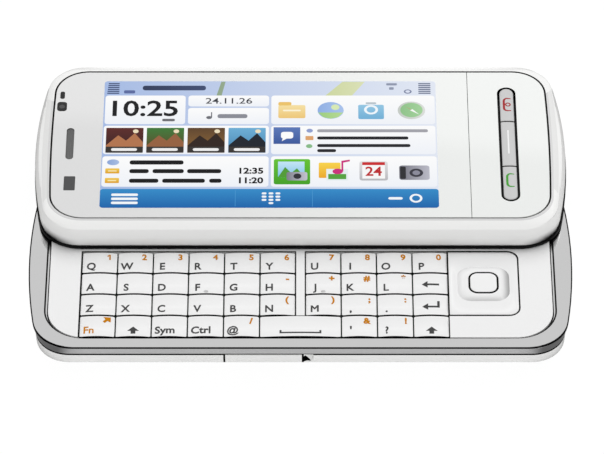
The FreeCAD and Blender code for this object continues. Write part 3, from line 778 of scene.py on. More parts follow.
def turn_outwards(mesh):
    """Merges doubled points and points every face outwards."""
    edit = bmesh.new()
    edit.from_mesh(mesh)
    bmesh.ops.remove_doubles(edit, verts=edit.verts, dist=1e-7)
    bmesh.ops.recalc_face_normals(edit, faces=edit.faces)
    edit.to_mesh(mesh)
    edit.free()


def settle(piece, body, slot, *stands_for, sharp=30.0):
    """Smooths a piece except at its sharp edges, and fixes it to its body."""
    turn_outwards(piece.data)
    piece.data.shade_smooth()
    piece.data.set_sharp_from_angle(angle=math.radians(sharp))
    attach(piece, body)
    if stands_for:
        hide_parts(*stands_for)
    return piece


def placed(name, shape, finishes, body, slot, *stands_for, picks=None, sharp=30.0):
    """A piece that is finished as it is swept, with nothing cut from it."""
    made = new_object(name, shape, finishes, picks)
    return settle(made, body, slot, *stands_for, sharp=sharp)


def door_outline(grow):
    """The card door seen from the front, as an outline in X and Z."""
    left, right, bottom, corner = DOOR
    half_x = (right - left) / 2 + grow
    half_z = (SEAM_Z + 1 - bottom) / 2 + grow
    centre = ((left + right) / 2, bottom - grow + half_z)
    return rounded_outline(half_x, half_z, (corner, 0, 0, corner), centre)


def belly_profile(steps=16):
    """Outer surface of the cover, from the underside up.

    At share t of the way down, t being the sine of an even turn, the long sides are drawn
    in by lean + reach * (1 - (1 - t^2)^(1/2)) and the ends by the same law with their own
    lean, reach and power.
    """
    share = np.sin(np.linspace(math.pi / 2, 0, steps))
    reach, power = END_REACH
    sides = BAND_LEAN + BELLY_REACH * (1 - np.sqrt(1 - share ** 2))
    ends = END_LEAN + reach * (1 - (1 - share ** power) ** (1 / power))
    corners = 7.1 - 0.07 * (sides - BAND_LEAN)
    rows = zip(sides, ends, corners, SEAM_Z * (1 - share))
    return [(body_outline(*row), height) for *row, height in rows]


def rounded_cap(outline, top, low, edge, turns, shares, centre, dark=1):
    """A cap with an upright side, a quarter-round edge and rings that close its top.

    outline gives the ring at an inset, top the height over a ring, and shares how far in
    the closing rings lie. The lowest bands, as many as dark, have finish 1.
    """
    profile = [(outline(0.0), low, 1)]
    for turn in np.linspace(0, math.pi / 2, turns):
        ring = outline(edge * (1 - math.cos(turn)))
        profile.append((ring, top(ring) - edge * (1 - math.sin(turn)),
                        int(len(profile) < dark)))
    last = profile[-1][0] - centre
    rings = [last * share + centre for share in shares]
    return ringed(profile + [(ring, top(ring)) for ring in rings])


class PhoneLooks(bpy.types.PropertyGroup):
    """Sizes that change how the surfaces look."""

    edge_round: bpy.props.FloatProperty(
        name="Key edge radius", description="Rounding along the top edge of each key",
        default=0.12 * MM, min=0.0, subtype="DISTANCE")
    crown_across: bpy.props.FloatProperty(
        name="Key crown across", description="Fall of a key's top towards its sides",
        default=0.3 * MM, min=0.0, subtype="DISTANCE")
    dish_along: bpy.props.FloatProperty(
        name="Key dish", description="Depth of the dish between a key's front and back",
        default=0.3 * MM, min=0.0, subtype="DISTANCE")
    mark_height: bpy.props.FloatProperty(
        name="Letter height", description="Height of the capital letters on the keys",
        default=2.05 * MM, min=0.0, subtype="DISTANCE")


class StudioLooks(bpy.types.PropertyGroup):
    """Light and floor of the studio."""

    lamp_power: bpy.props.FloatProperty(
        name="Lamp power", description="Power of the large soft lamp above the phone",
        default=3.6, min=0.0, unit="POWER")
    sky_level: bpy.props.FloatProperty(
        name="Sky level", description="Strength of the even light from all round",
        default=1.0, min=0.0)
    flag_level: bpy.props.FloatProperty(
        name="Flag level", description="How much of the sky's light the two end flags pass",
        default=0.5, min=0.0, max=1.0, subtype="FACTOR")
    floor_glow: bpy.props.FloatProperty(
        name="Floor glow", description="How much of the floor shows as plain white",
        default=0.73, min=0.0, max=1.0, subtype="FACTOR")
    camera_lens: bpy.props.FloatProperty(
        name="Lens", description="Focal length of the camera on a 36 mm sensor",
        default=287.51, min=1.0, unit="CAMERA")


# ---- lower half ---------------------------------------------------------------------
class PHONE_OT_cover(bpy.types.Operator):
    """Builds the curved cover with its openings, and the card door"""

    bl_idname = "phone.make_cover"
    bl_label = "Cover"

    def execute(self, context):
        belly = belly_profile()
        top = SEAM_Z - SEAM_STEP
        step_in = SEAM_STEP + 0.1
        wall_in = BAND_LEAN + COVER_WALL
        foot = body_outline(BAND_LEAN + step_in, END_LEAN + step_in, 7.0)
        # finish 1, black, is painted shade: on the seam step, and on the walls cut for the
        # door, camera strip, jack, socket and catch
        finishes = [lacquered_white(), painted_gap_shade()]
        shape, picks = ringed(belly[:-1] + [
            (belly[-1][0], top, 1), (foot, top, 1), (foot, SEAM_Z),
            (body_outline(wall_in), SEAM_Z), (body_outline(wall_in + 3.0), COVER_FLOOR + 2.0),
            (body_outline(8.0), COVER_FLOOR)])
        shell = new_object("curved_cover", shape, finishes, picks)
        radius, nail_low = NAIL
        strip_x, strip_wide, strip_deep, strip_corner = CAMERA_STRIP
        strip = rounded_outline(strip_wide / 2 + GAP, strip_deep / 2 + GAP, strip_corner,
                                (strip_x, 0.0))
        carve(shell, [
            pulled(door_outline(0.28), -WIDTH, -WIDTH / 4, FROM_FRONT),
            prism(strip, -1.0, COVER_FLOOR + 1),
            pulled(circle(*JACK), -57.7, -45.0, FROM_END),
            crate(*DATA_SOCKET), crate(*JACK_POCKET),
        ], wall=1)
        notch = circle(DOOR[1] + radius, BAND_LEAN - WIDTH / 2, radius)
        carve(shell, [prism(notch, nail_low, SEAM_Z + 1)])
        catch = np.array(CATCH) + (DOOR[1], 0.0)
        carve(shell, [pulled(catch, -WIDTH, -23.6, FROM_FRONT)], wall=1)
        settle(shell, "base", "white_gloss", "battery_cover", sharp=25.0)
        skin = ringed(belly)[0]
        door = new_object("card_slot_door", skin, finishes)
        # the door's cut edge takes finish 1, black, as painted shade in its gap
        carve(door, [pulled(door_outline(-GAP), -WIDTH, -WIDTH / 4, FROM_FRONT)],
              "INTERSECT", wall=1)
        carve(door, [moved(skin, (0.0, DOOR_SKIN, 0.0)),
                     crate(-60, 60, -40, 0, top, RIM_TOP + 1.2)])
        settle(door, "card_door", "white_gloss", "card_door", sharp=25.0)
        return {"FINISHED"}


class PHONE_OT_rim(bpy.types.Operator):
    """Builds the metal rim with its polished band and side-key pockets"""

    bl_idname = "phone.make_rim"
    bl_label = "Metal rim"

    def execute(self, context):
        low, high, depth = GROOVE

        def inner(half_x, half_y, corner):
            """An opening's outline, its ends straight."""
            return bowed_outline(half_x, half_y, corner, STRAIGHT)

        mouth, ledge = RIM_MOUTH[0] - RIM_LIP[0], DECK_SEAT[0] + 0.08
        edge = body_outline(0.0)
        # finish 2, black, is painted: shade on the seam step, in the groove, on the mouth's
        # chamfer and down the deck seat, and on the top chamfer at the ends a painted dark
        # reflection
        chamfer = np.where(np.abs(edge[:, 0]) > LENGTH / 2 - DARK_END, 2, 0)
        profile = [
            (body_outline(BAND_LEAN, END_LEAN, 7.1), SEAM_Z, 2),
            (body_outline(BAND_LEAN - 0.06, END_LEAN - 0.05, 7.2), SEAM_Z + SEAM_STEP, 1),
            (body_outline(0.45, 0.38, 7.8), 9.1, 1), (body_outline(0.07), low - 0.02, 1),
            (body_outline(0.09), low, 2), (body_outline(depth), low, 2),
            (body_outline(depth), high, 2), (body_outline(0.03), high, 2),
            (edge, high + 0.03, chamfer), (body_outline(*RIM_EDGE), RIM_TOP),
            (inner(mouth + RIM_LIP[1], RIM_MOUTH[1] + 0.08, RIM_MOUTH[2]), RIM_TOP, 2),
            (inner(mouth, *RIM_MOUTH[1:]), RIM_TOP - 0.1),
            (inner(mouth, *RIM_MOUTH[1:]), LEDGE_Z),
            (inner(ledge, *DECK_SEAT[1:]), LEDGE_Z, 2), (inner(*DECK_SEAT), LEDGE_Z - 0.05, 2),
            (inner(*DECK_SEAT), SHOULDER_Z, 2), (inner(*DECK_WELL), SHOULDER_Z),
            (inner(*DECK_WELL), BOARD_TOP), (inner(*BOARD_SEAT), BOARD_TOP),
            (inner(*BOARD_SEAT), SEAM_Z),
        ]
        shape, picks = ringed(profile, closed=True)
        rim = new_object("metal_rim", shape, [satin_rim(), polished_band(), painted_gap_shade()],
                         picks)
        cuts = []
        z0, z1 = SIDE_KEY_Z[0] - GAP, SIDE_KEY_Z[1] + GAP
        for centre, along, span in SIDE_KEYS:
            a, b = centre - span / 2 - GAP, centre + span / 2 + GAP
            if along == "x":
                cuts.append(crate(a, b, WIDTH / 2 - SIDE_KEY_POCKET, WIDTH, z0, z1))
            else:
                cuts.append(crate(-LENGTH, SIDE_KEY_POCKET - LENGTH / 2, a, b, z0, z1))
        carve(rim, cuts)
        settle(rim, "base", "rim_metal", "chassis_frame", sharp=10.0)
        return {"FINISHED"}


# ---- keys ---------------------------------------------------------------------------
ROWS = (
    (("q", "Q", "1"), ("w", "W", "2"), ("e", "E", "3"), ("r", "R", "4"), ("t", "T", "5"),
     ("y", "Y", "6"), ("u", "U", "7"), ("i", "I", "8"), ("o", "O", "9"), ("p", "P", "0")),
    (("a", "A", ""), ("s", "S", ""), ("d", "D", ""), ("f", "F", ""), ("g", "G", ""),
     ("h", "H", "-"), ("j", "J", "+"), ("k", "K", "#"), ("l", "L", "*"),
     ("backspace", "", "")),
    (("z", "Z", ""), ("x", "X", ""), ("c", "C", ""), ("v", "V", ""), ("b", "B", ""),
     ("n", "N", "("), ("m", "M", ")"), ("comma", ",", ";"), ("period", ".", ":"),
     ("enter", "", "")),
)
LOW_LEFT = (("fn", "", ""), ("shift_left", "", ""), ("sym", "Sym", ""), ("ctrl", "Ctrl", ""),
            ("at", "@", "/"))
LOW_RIGHT = (("apostrophe", "'", "&"), ("question", "?", "!"), ("shift_right", "", ""))


def key_cells():
    """Each key's name, marks and cell (left, right, front, back)."""
    cells = []
    wide, deep = PITCH

    def put(key, left, row, span=wide):
        """One cell, by its left edge and its row."""
        back = KEYS_BACK - row * deep
        cells.append((key, (left, left + span, back - deep, back)))

    for row, keys in enumerate(ROWS):
        for column, key in enumerate(keys):
            start = KEYS_LEFT if column < 6 else RIB - 6 * wide
            put(key, start + column * wide, row)
    for column, key in enumerate(LOW_LEFT):
        put(key, KEYS_LEFT + column * wide, 3)
    put(("space", "", ""), -RIB - wide, 3, 2 * (RIB + wide))
    for column, key in enumerate(LOW_RIGHT):
        put(key, RIB + wide + column * wide, 3)
    return cells


def crowned(x, y, cell, looks):
    """Height of a key's top: arched across, and dished from front to back.

    From the crest it falls with the square of the distance to the sides, and by the dish
    depth in the middle of its length.
    """
    left, right, front, back = cell
    u = (x - (left + right) / 2) / ((right - left) / 2)
    v = (y - (front + back) / 2) / ((back - front) / 2)
    fall = looks.crown_across * u ** 2 + looks.dish_along * (1 - np.minimum(v ** 2, 1.0))
    return KEY_CREST - fall / MM


def keycap(cell, looks):
    """Cap with upright sides, a quarter-round edge and a top crowned both ways."""
    left, right, front, back = cell
    centre = np.array([(left + right) / 2, (front + back) / 2])
    half = np.array([right - left - KEY_GAP[0], back - front - KEY_GAP[1]]) / 2

    def outline(inset):
        """The cap's outline drawn in by inset."""
        return rounded_outline(*(half - inset), 0.3 - inset * 0.7, centre, 7, 4)

    def top(ring):
        """Height of the crowned top over a ring."""
        return crowned(*ring.T, cell, looks)

    return rounded_cap(outline, top, KEY_LOW, looks.edge_round / MM, 5,
                       (0.85, 0.65, 0.45, 0.25, 0.02), centre, dark=2)


# outlines of the printed signs round a point of their own
SIGNS = {
    "shift": ((-0.48, 0), (0.48, 0), (0.48, 0.95), (1.2, 0.95), (0, 2.2), (-1.2, 0.95),
              (-0.48, 0.95)),
    "back": ((-1.8, 0), (-0.6, -0.95), (-0.6, -0.25), (1.8, -0.25), (1.8, 0.25),
             (-0.6, 0.25), (-0.6, 0.95)),
    "enter": ((-1.8, 0), (-0.6, -0.95), (-0.6, -0.25), (1.8, -0.25), (1.8, 1.6), (1.3, 1.6),
              (1.3, 0.25), (-0.6, 0.25), (-0.6, 0.95)),
    "level": ((-0.85, -0.35), (-0.45, -0.75), (0.1, -0.2), (0.8, -0.55), (0.8, 0.75),
              (-0.75, 0.75), (-0.3, 0.2)),
    "space": ((-4.3, 0), (4.3, 0), (4.3, 1), (3.9, 1), (3.9, 0.42), (-3.9, 0.42), (-3.9, 1),
              (-4.3, 1)),
}
# the sign of each key that has one, and how far behind the key's middle it stands
KEY_SIGNS = {"shift_left": ("shift", -2.2), "shift_right": ("shift", -2.2),
             "backspace": ("back", -0.1), "enter": ("enter", -0.4), "space": ("space", -2.0)}


def sign(name, x, y):
    """A printed sign at a place on a key."""
    return filled(np.array(SIGNS[name]) + (x, y), MARK_STEP)


def one_mark(right, base, tall):
    """Digit one with a short flag at its top left."""
    return filled([(right - 0.3, base), (right, base), (right, base + tall),
                   (right - 0.26, base + tall), (right - 0.72, base + tall * 0.78),
                   (right - 0.62, base + tall * 0.6), (right - 0.3, base + tall * 0.74)])


def key_marks(key, cell, looks):
    """The grey and the orange marks of a key, as flat shapes."""
    name, main, second = key
    left, right, front, back = cell
    x, y = (left + right) / 2, (front + back) / 2
    tall, foot = looks.mark_height / MM, front + 1.17
    grey, orange = [], []
    if name in ("sym", "ctrl"):
        grey.append(lettered(main, tall, left=left + 0.75, base=foot, narrow=0.84,
                             weight=0.024))
    elif main:
        grey.append(lettered(main, tall, middle=left + 1.95, base=foot,
                             weight=0.034 if main in ",.'" else 0.024))
    if name in KEY_SIGNS:
        kind, rise = KEY_SIGNS[name]
        grey.append(sign(kind, x, y + rise))
    if name == "fn":
        orange.append(sign("level", right - 1.75, back - 1.3))
        orange.append(lettered("Fn", tall, left=left + 0.95, base=foot, weight=0.018))
    if second == "1":
        orange.append(one_mark(right - 1.5, back - 2.2, 1.42))
    elif second:
        orange.append(lettered(second, 1.42, right=right - 1.35, base=back - 2.2,
                               narrow=1.0, weight=0.032 if second.isdigit() else 0.045))
    return grey, orange


class PHONE_OT_keys(bpy.types.Operator):
    """Builds the thirty-nine crowned keycaps with their printed marks"""

    bl_idname = "phone.make_keys"
    bl_label = "Keyboard"

    def execute(self, context):
        looks = context.scene.phone_looks
        placed("key_field_painted_shadow", field_shadow_strips(), [painted_gap_shade()], "base", "black_plastic")
        for key, cell in key_cells():
            name = key[0]
            shape, picks = keycap(cell, looks)
            body = "key_" + name
            # each cap's lowest bands are black, painted shade in the gaps between keys
            placed("cap_" + name, shape, [keycap_white(), painted_gap_shade()], body, "key_white",
                   body, picks=picks)
            grey, orange = key_marks(key, cell, looks)
            rise, thick = MARK_RISE
            prints = [slab(flat, crowned(*flat[0].T, cell, looks) + rise, thick)
                      for flat in grey + orange]
            shape, sizes = joined(prints)
            picks = np.repeat([0] * len(grey) + [1] * len(orange), sizes)
            placed("marks_" + name, shape, [grey_ink(), orange_ink()], body, "black_plastic",
                   picks=picks)
            if name in ("f", "j"):
                x, y = (cell[0] + cell[1]) / 2, cell[2] + 0.75
                foot = crowned(x, y, cell, looks) - 0.05
                rings = [(circle(x, y, 0.5 * math.cos(turn), 16, 0.8),
                          foot + 0.3 * math.sin(turn)) for turn in np.linspace(0, 1.5, 5)]
                # the bump takes the grey key paint as painted shade, so that it shows as a grey
                # dot
                placed("finder_bump_" + name, ringed(rings)[0], [strip_key_grey()], body,
                       "key_white")
        return {"FINISHED"}


def field_shadow_strips():
    """Flat black strips laid round the letter keys as painted shadow, so that the slits round
    them read dark.
    """
    left, right = KEYS_LEFT, RIB + 4 * PITCH[0]
    back, front = KEYS_BACK, KEYS_BACK - 4 * PITCH[1]
    foot = KEYS_BACK - 3 * PITCH[1]
    spans = [(left - 0.2, -RIB + 0.1, back, back + 0.36),
             (RIB - 0.1, right + 0.1, back, back + 0.36),
             (left - 0.2, left + 0.05, front, back), (right - 0.12, right + 0.07, front, back),
             (-RIB - 0.08, -RIB + 0.12, foot, back), (RIB - 0.12, RIB + 0.08, foot, back),
             (-RIB, RIB, foot - 0.1, foot + 0.1)]
    return joined([crate(x0, x1, y0, y1, RIM_TOP - 0.02, RIM_TOP + 0.01)
                   for x0, x1, y0, y1 in spans])[0]


class PHONE_OT_navigation(bpy.types.Operator):
    """Builds the four-way key with its sloping pad, and the select key"""

    bl_idname = "phone.make_navigation"
    bl_label = "Navigation keys"

    def execute(self, context):
        plate_x, plate_y = NAV_SIZE[0] / 2 - GAP, NAV_SIZE[1] / 2 - GAP
        pad_x, pad_y, pad_corner = PAD_SIZE[0] / 2, PAD_SIZE[1] / 2, PAD_SIZE[2]
        half_x, half_y, corner = SELECT_LOOK
        hole_x, hole_y = half_x + SELECT_GAP[0], half_y + sum(SELECT_GAP[1:]) / 2
        hole_corner = corner + SELECT_GAP[0]
        cap_centre = np.array(SELECT_CENTRE) + (0.0, SELECT_SHIFT)
        hole_centre = cap_centre + (0.0, (SELECT_GAP[2] - SELECT_GAP[1]) / 2)
        profile = []

        def ring(half_x, half_y, corner, centre, z, finish=0):
            """Adds one ring to the profile."""
            outline = rounded_outline(half_x, half_y, corner, centre, *NAV_STEPS)
            profile.append((outline, z, finish))

        free = NAV_SIZE[2]
        plate_corners = (free, free, 0.15, 0.15)      # square beside the letter keys
        # finish 1, black, on the plate's side and the select hole's walls is painted shade;
        # finish 2 on the pad's slopes carries its painted shade
        for inset, z, finish in ((0.0, NAV_LOW, 1), (0.0, RIM_TOP - 0.12, 0),
                                 (0.04, RIM_TOP - 0.04, 0), (0.12, RIM_TOP, 0)):
            ring(plate_x - inset, plate_y - inset, plate_corners, NAV_CENTRE, z, finish)
        foot = RIM_TOP - PAD_MOAT
        for share in np.linspace(0.15, 1, 4):
            reach_x = plate_x - 0.12 + (pad_x + 0.03 - plate_x + 0.12) * share
            reach_y = plate_y - 0.12 + (pad_y + 0.03 - plate_y + 0.12) * share
            ring(reach_x, reach_y, pad_corner, NAV_CENTRE if share < 1 else SELECT_CENTRE,
                 RIM_TOP - PAD_MOAT * share ** 2)
        for share in np.linspace(0, 1, 10):
            rise = 1 - (1 - share) ** 3.0
            ring(pad_x - PAD_SLOPE[0] * share, pad_y - PAD_SLOPE[1] * share,
                 pad_corner - 0.8 * share, SELECT_CENTRE, foot + (KEY_CREST - foot) * rise, 2)
        for grow, z, finish in ((0.03, KEY_CREST, 0), (0.0, KEY_CREST - 0.03, 1),
                                (0.0, NAV_LOW, 1)):
            ring(hole_x + grow, hole_y + grow, hole_corner, hole_centre, z, finish)
        shape, picks = ringed(profile, closed=True)
        placed("four_way_key", shape, [moulded_deck_white(), painted_gap_shade(), pad_white_painted_shade()],
               "navigation_key", "white_gloss", "navigation_key", picks=picks)
        inner = rounded_outline(plate_x + 0.06, plate_y + 0.06, plate_corners, NAV_CENTRE,
                                *NAV_STEPS)
        outer = rounded_outline(plate_x + 0.3, plate_y + 0.42,
                                (free + 0.3, free + 0.3, 0.15, 0.15), NAV_CENTRE, *NAV_STEPS)
        hole = rounded_outline(hole_x, hole_y, hole_corner, hole_centre, *NAV_STEPS)
        cap = rounded_outline(half_x + 0.03, half_y + 0.03, corner, cap_centre, *NAV_STEPS)
        # flat black rings round the plate and in the select key's gap are painted shadow
        for name, body, band, top, thick in (
                ("navigation_painted_shadow", "base", ring_band(outer, inner), RIM_TOP + 0.01, 0.03),
                ("select_painted_shadow", "navigation_key", ring_band(hole, cap), KEY_CREST - 0.03,
                 0.1)):
            placed(name, slab(band, top, thick), [painted_gap_shade()], body, "black_plastic")
        profile.clear()
        # the select cap's side is black, painted shade in its gap
        ring(half_x, half_y, corner, cap_centre, NAV_LOW, 1)
        for turn in np.linspace(0, math.pi / 2, 4):
            inset = 0.12 * (1 - math.cos(turn))
            ring(half_x - inset, half_y - inset, corner - inset, cap_centre,
                 KEY_CREST - 0.12 + 0.1 * math.sin(turn))
        for share in (0.8, 0.5, 0.2, 0.02):
            ring((half_x - 0.12) * share, (half_y - 0.12) * share, corner * share,
                 cap_centre, KEY_CREST - 0.02 * share ** 2)
        shape, picks = ringed(profile)
        placed("select_cap", shape, [keycap_white(), painted_gap_shade()], "select_key",
               "key_white", "select_key", picks=picks)
        return {"FINISHED"}


# ---- upper half ---------------------------------------------------------------------
class PHONE_OT_housing(bpy.types.Operator):
    """Builds the white frame round the front panes"""

    bl_idname = "phone.make_housing"
    bl_label = "Upper housing"

    def execute(self, context):
        foot = lid_outline(FOOT_INSET + 0.08)
        y = foot[:, 1]
        # painted shade: the inner bevel is grey e8e8e7 at the ends and dadada at the ends and
        # front next to the groove; the groove walls are black, and dadada grey at the front, a
        # lighter painted shade there
        ends = np.where(np.abs(y) < WIDTH / 2 - CORNER, 2, 0)
        shaded_ends_and_front = np.where(y < WIDTH / 2 - CORNER, 3, 0)
        lip = np.where(y < 0.3 - WIDTH / 2, 3, 1)
        profile = [(foot, HOUSING_LOW)]
        for part in np.linspace(-1, 1, 13):
            inset, reach, power = (
                (FOOT_INSET, WIDEST_Z - HOUSING_LOW, FLANK_POWERS[0]) if part < 0
                else (CREASE_INSET, CREASE_Z - WIDEST_Z, FLANK_POWERS[1]))
            profile.append((lid_outline(inset * abs(part) ** power),
                            WIDEST_Z + reach * part + (0.08 if part == -1 else 0.0)))
        rim = PANE_GROOVE + BEVEL_LAND
        crease = np.array([LENGTH / 2, WIDTH / 2, CORNER, LID_BOW]) - CREASE_INSET
        land = np.array(PANE) + rim
        shares = np.linspace(0, 1, 7)[1:]
        for share, finish in zip(shares, (0, ends, ends, ends, shaded_ends_and_front,
                                          shaded_ends_and_front)):
            lift = share + 0.2 * share * (1 - share)
            profile.append((squeezed(bowed_outline(*(crease + (land - crease) * share))),
                            CREASE_Z + (LID_TOP - CREASE_Z) * lift, finish))
        profile += [(pane_outline(-PANE_GROOVE - 0.03), LID_TOP, lip),
                    (pane_outline(-PANE_GROOVE), LID_TOP - 0.04, lip),
                    (pane_outline(-PANE_GROOVE), PANE_LOW, lip),
                    (pane_outline(2.0), PANE_LOW, lip), (pane_outline(2.0), LEDGE_LOW),
                    (lid_outline(1.3), LEDGE_LOW), (lid_outline(1.3), HOUSING_LOW)]
        shape, picks = ringed(profile, closed=True)
        placed("upper_frame", in_lid(shape),
               [side_white_painted_shade(), edge_ink_and_groove_shade(), lip_painted_shade("e8e8e7"), lip_painted_shade("dadada")],
               "slider", "white_gloss", "upper_housing", picks=picks, sharp=14.0)
        # the black skirt is partly the slide plate's real black and partly painted shadow: it
        # reaches out to the outline so that a black strip shows under the upper half
        edge = squeezed(bowed_outline(LENGTH / 2 - 0.3, WIDTH / 2, CORNER, LID_BOW))
        skirt = in_lid(ringed([
            (lid_outline(1.2), SKIRT_LOW), (edge, SKIRT_LOW), (edge, HOUSING_LOW - 0.06),
            (lid_outline(0.36), HOUSING_LOW), (lid_outline(1.2), HOUSING_LOW)],
            closed=True)[0])
        placed("slider_skirt", skirt, [black_steel()], "slider", "slide_black")
        placed("front_key_floor", in_lid(crate(*FRONT_WELL)), [matte_black()], "slider",
               "black_plastic")
        return {"FINISHED"}


SENSORS = (
    ("earpiece_grille", -49.0, 0.0, 1.65, 9.9, 0.82),
    ("light_sensor", -51.1, 15.5, 1.0, 2.4, 0.5),
    ("front_camera_window", -51.1, 11.85, 2.1, 3.0, 0.7),
    ("proximity_window", -48.7, -12.45, 2.4, 4.4, 0.2),
)
FRONT_LENS = (-51.1, 11.85, 0.62)


class PHONE_OT_panes(bpy.types.Operator):
    """Builds the touch pane and the key pane with their openings and sensor windows"""

    bl_idname = "phone.make_panes"
    bl_label = "Front panes"

    def execute(self, context):
        holes = [prism(rounded_outline(wide / 2, deep / 2, corner, (x, y)), *PANE_CUT)
                 for _, x, y, wide, deep, corner in SENSORS]
        wide, deep = STRIP_SLOT
        slot = prism(rounded_outline(wide / 2, deep / 2, wide / 2, (STRIP_X, 0.0), steps=12),
                     *PANE_CUT)
        left, right = PANE_SEAM
        edge = pane_outline(PANE_EDGE)
        sheet = in_lid(ringed([(edge, PANE_LOW), (edge, LID_TOP - 0.04),
                               (pane_outline(PANE_EDGE + 0.04), LID_TOP)])[0])
        for name, openings, x0, x1, stands_for in (
                ("touch_pane", holes, left, 60, ("front_window",)),
                ("key_pane", [slot], -60, right, ())):
            pane = new_object(name, sheet, [painted_pane(), edge_ink_and_groove_shade()])
            carve(pane, [in_lid(cut) for cut in openings], wall=1)
            carve(pane, [in_lid(crate(x0, x1, -30, 30, *PANE_CUT))])
            settle(pane, "slider", "pane_white", *stands_for)
        finishes = {"earpiece_grille": woven_grille, "proximity_window": smoked_window}
        for name, x, y, wide, deep, corner in SENSORS:
            outline = rounded_outline(wide / 2 - 0.02, deep / 2 - 0.02, corner, (x, y))
            finish = finishes.get(name, matte_black)()
            top = LID_TOP - (0.15 if name == "earpiece_grille" else 0.03)
            stands_for = ("front_inserts",) if name == "earpiece_grille" else ()
            placed(name, in_lid(prism(outline, PANE_LOW, top)), [finish], "slider",
                   "black_plastic", *stands_for)
        lens = in_lid(prism(circle(*FRONT_LENS), LID_TOP - 0.1, LID_TOP - 0.01))
        placed("front_camera_lens", lens, [smoked_window()], "slider", "black_plastic")
        return {"FINISHED"}


def bracket_mark(x, y):
    """Thick bracket open to the right, its arms thinning to their ends."""
    t = np.linspace(math.pi / 2, math.pi, 7)
    outer = np.column_stack([x + 1.0 * np.cos(t) + 0.15, y + 1.15 + 1.0 * np.sin(t)])
    inner = np.column_stack([x + 0.52 * np.cos(t) + 0.15, y + 1.12 + 0.68 * np.sin(t)])
    arm = np.array([(x + 0.9, y + 2.02), (x + 0.9, y + 1.78)])
    top_outer = np.concatenate([arm[:1], outer])
    top_inner = np.concatenate([arm[1:], inner])
    flip = np.array([1, -1])
    low_outer = (top_outer - (x, y)) * flip + (x, y)
    low_inner = (top_inner - (x, y)) * flip + (x, y)
    return ring_band(np.concatenate([top_outer, low_outer[::-1]]),
                     np.concatenate([top_inner, low_inner[::-1]]), closed=False)


class PHONE_OT_front_keys(bpy.types.Operator):
    """Builds the strip of three front keys with their marks"""

    bl_idname = "phone.make_front_keys"
    bl_label = "Front keys"

    def execute(self, context):
        half = STRIP_KEY[0] / 2
        end = STRIP_KEY[1] / 2
        near, far = STRIP_SEAM
        spans = (("call", -end, -far, (half, 0.1, 0.1, half)),
                 ("menu", -near, near, (0.1,) * 4),
                 ("end", far, end, (0.1, half, half, 0.1)))
        fall, arch = STRIP_CROWN

        def top(ring):
            """Height of the arched top: it falls with the square of the distance."""
            return STRIP_TOP - fall - arch * ((ring[:, 0] - STRIP_X) / half) ** 2

        for name, y0, y1, radii in spans:
            centre = np.array([STRIP_X, (y0 + y1) / 2])

            def outline(inset):
                """The key's outline drawn in by inset."""
                corners = [max(radius - inset, 0.05) for radius in radii]
                return rounded_outline(half - inset, (y1 - y0) / 2 - inset, corners, centre,
                                       5, 8)

            # each cap's lowest band is black, painted shade in the slot
            shape, picks = rounded_cap(outline, top, STRIP_LOW, 0.15, 4,
                                       ((0.75, 1), (0.5, 1), (0.25, 1), (0.02, 0.98)), centre)
            placed(name + "_cap", in_lid(shape), [strip_key_grey(), painted_gap_shade()],
                   name + "_key", "key_grey", name + "_key", picks=picks)
        x = STRIP_X
        bar = rounded_outline(0.16, 3.73, 0.16, (x, 0.48))
        ring = ring_band(circle(x + 0.25, 12.4, 0.62), circle(x + 0.25, 12.4, 0.34))
        marks = (("call", [bracket_mark(x, -11.55)], green_ink()),
                 ("menu", [filled(bar)], white_ink()),
                 ("end", [bracket_mark(x, 12.4), ring], red_ink()))
        for name, flats, ink in marks:
            prints = [slab(flat, top(flat[0]) + 0.02, 0.045) for flat in flats]
            placed(name + "_mark", in_lid(joined(prints)[0]), [ink], name + "_key", "key_grey")
        return {"FINISHED"}


# ---- screen -------------------------------------------------------------------------
def box_flat(x0, y0, x1, y1, corner=0.0):
    """Flat rectangle, its corners rounded when corner is given."""
    half_x, half_y = (x1 - x0) / 2, (y1 - y0) / 2
    centre = ((x0 + x1) / 2, (y0 + y1) / 2)
    if corner:
        return filled(rounded_outline(half_x, half_y, corner, centre, 1, 4))
    return filled([(x0, y0), (x1, y0), (x1, y1), (x0, y1)])


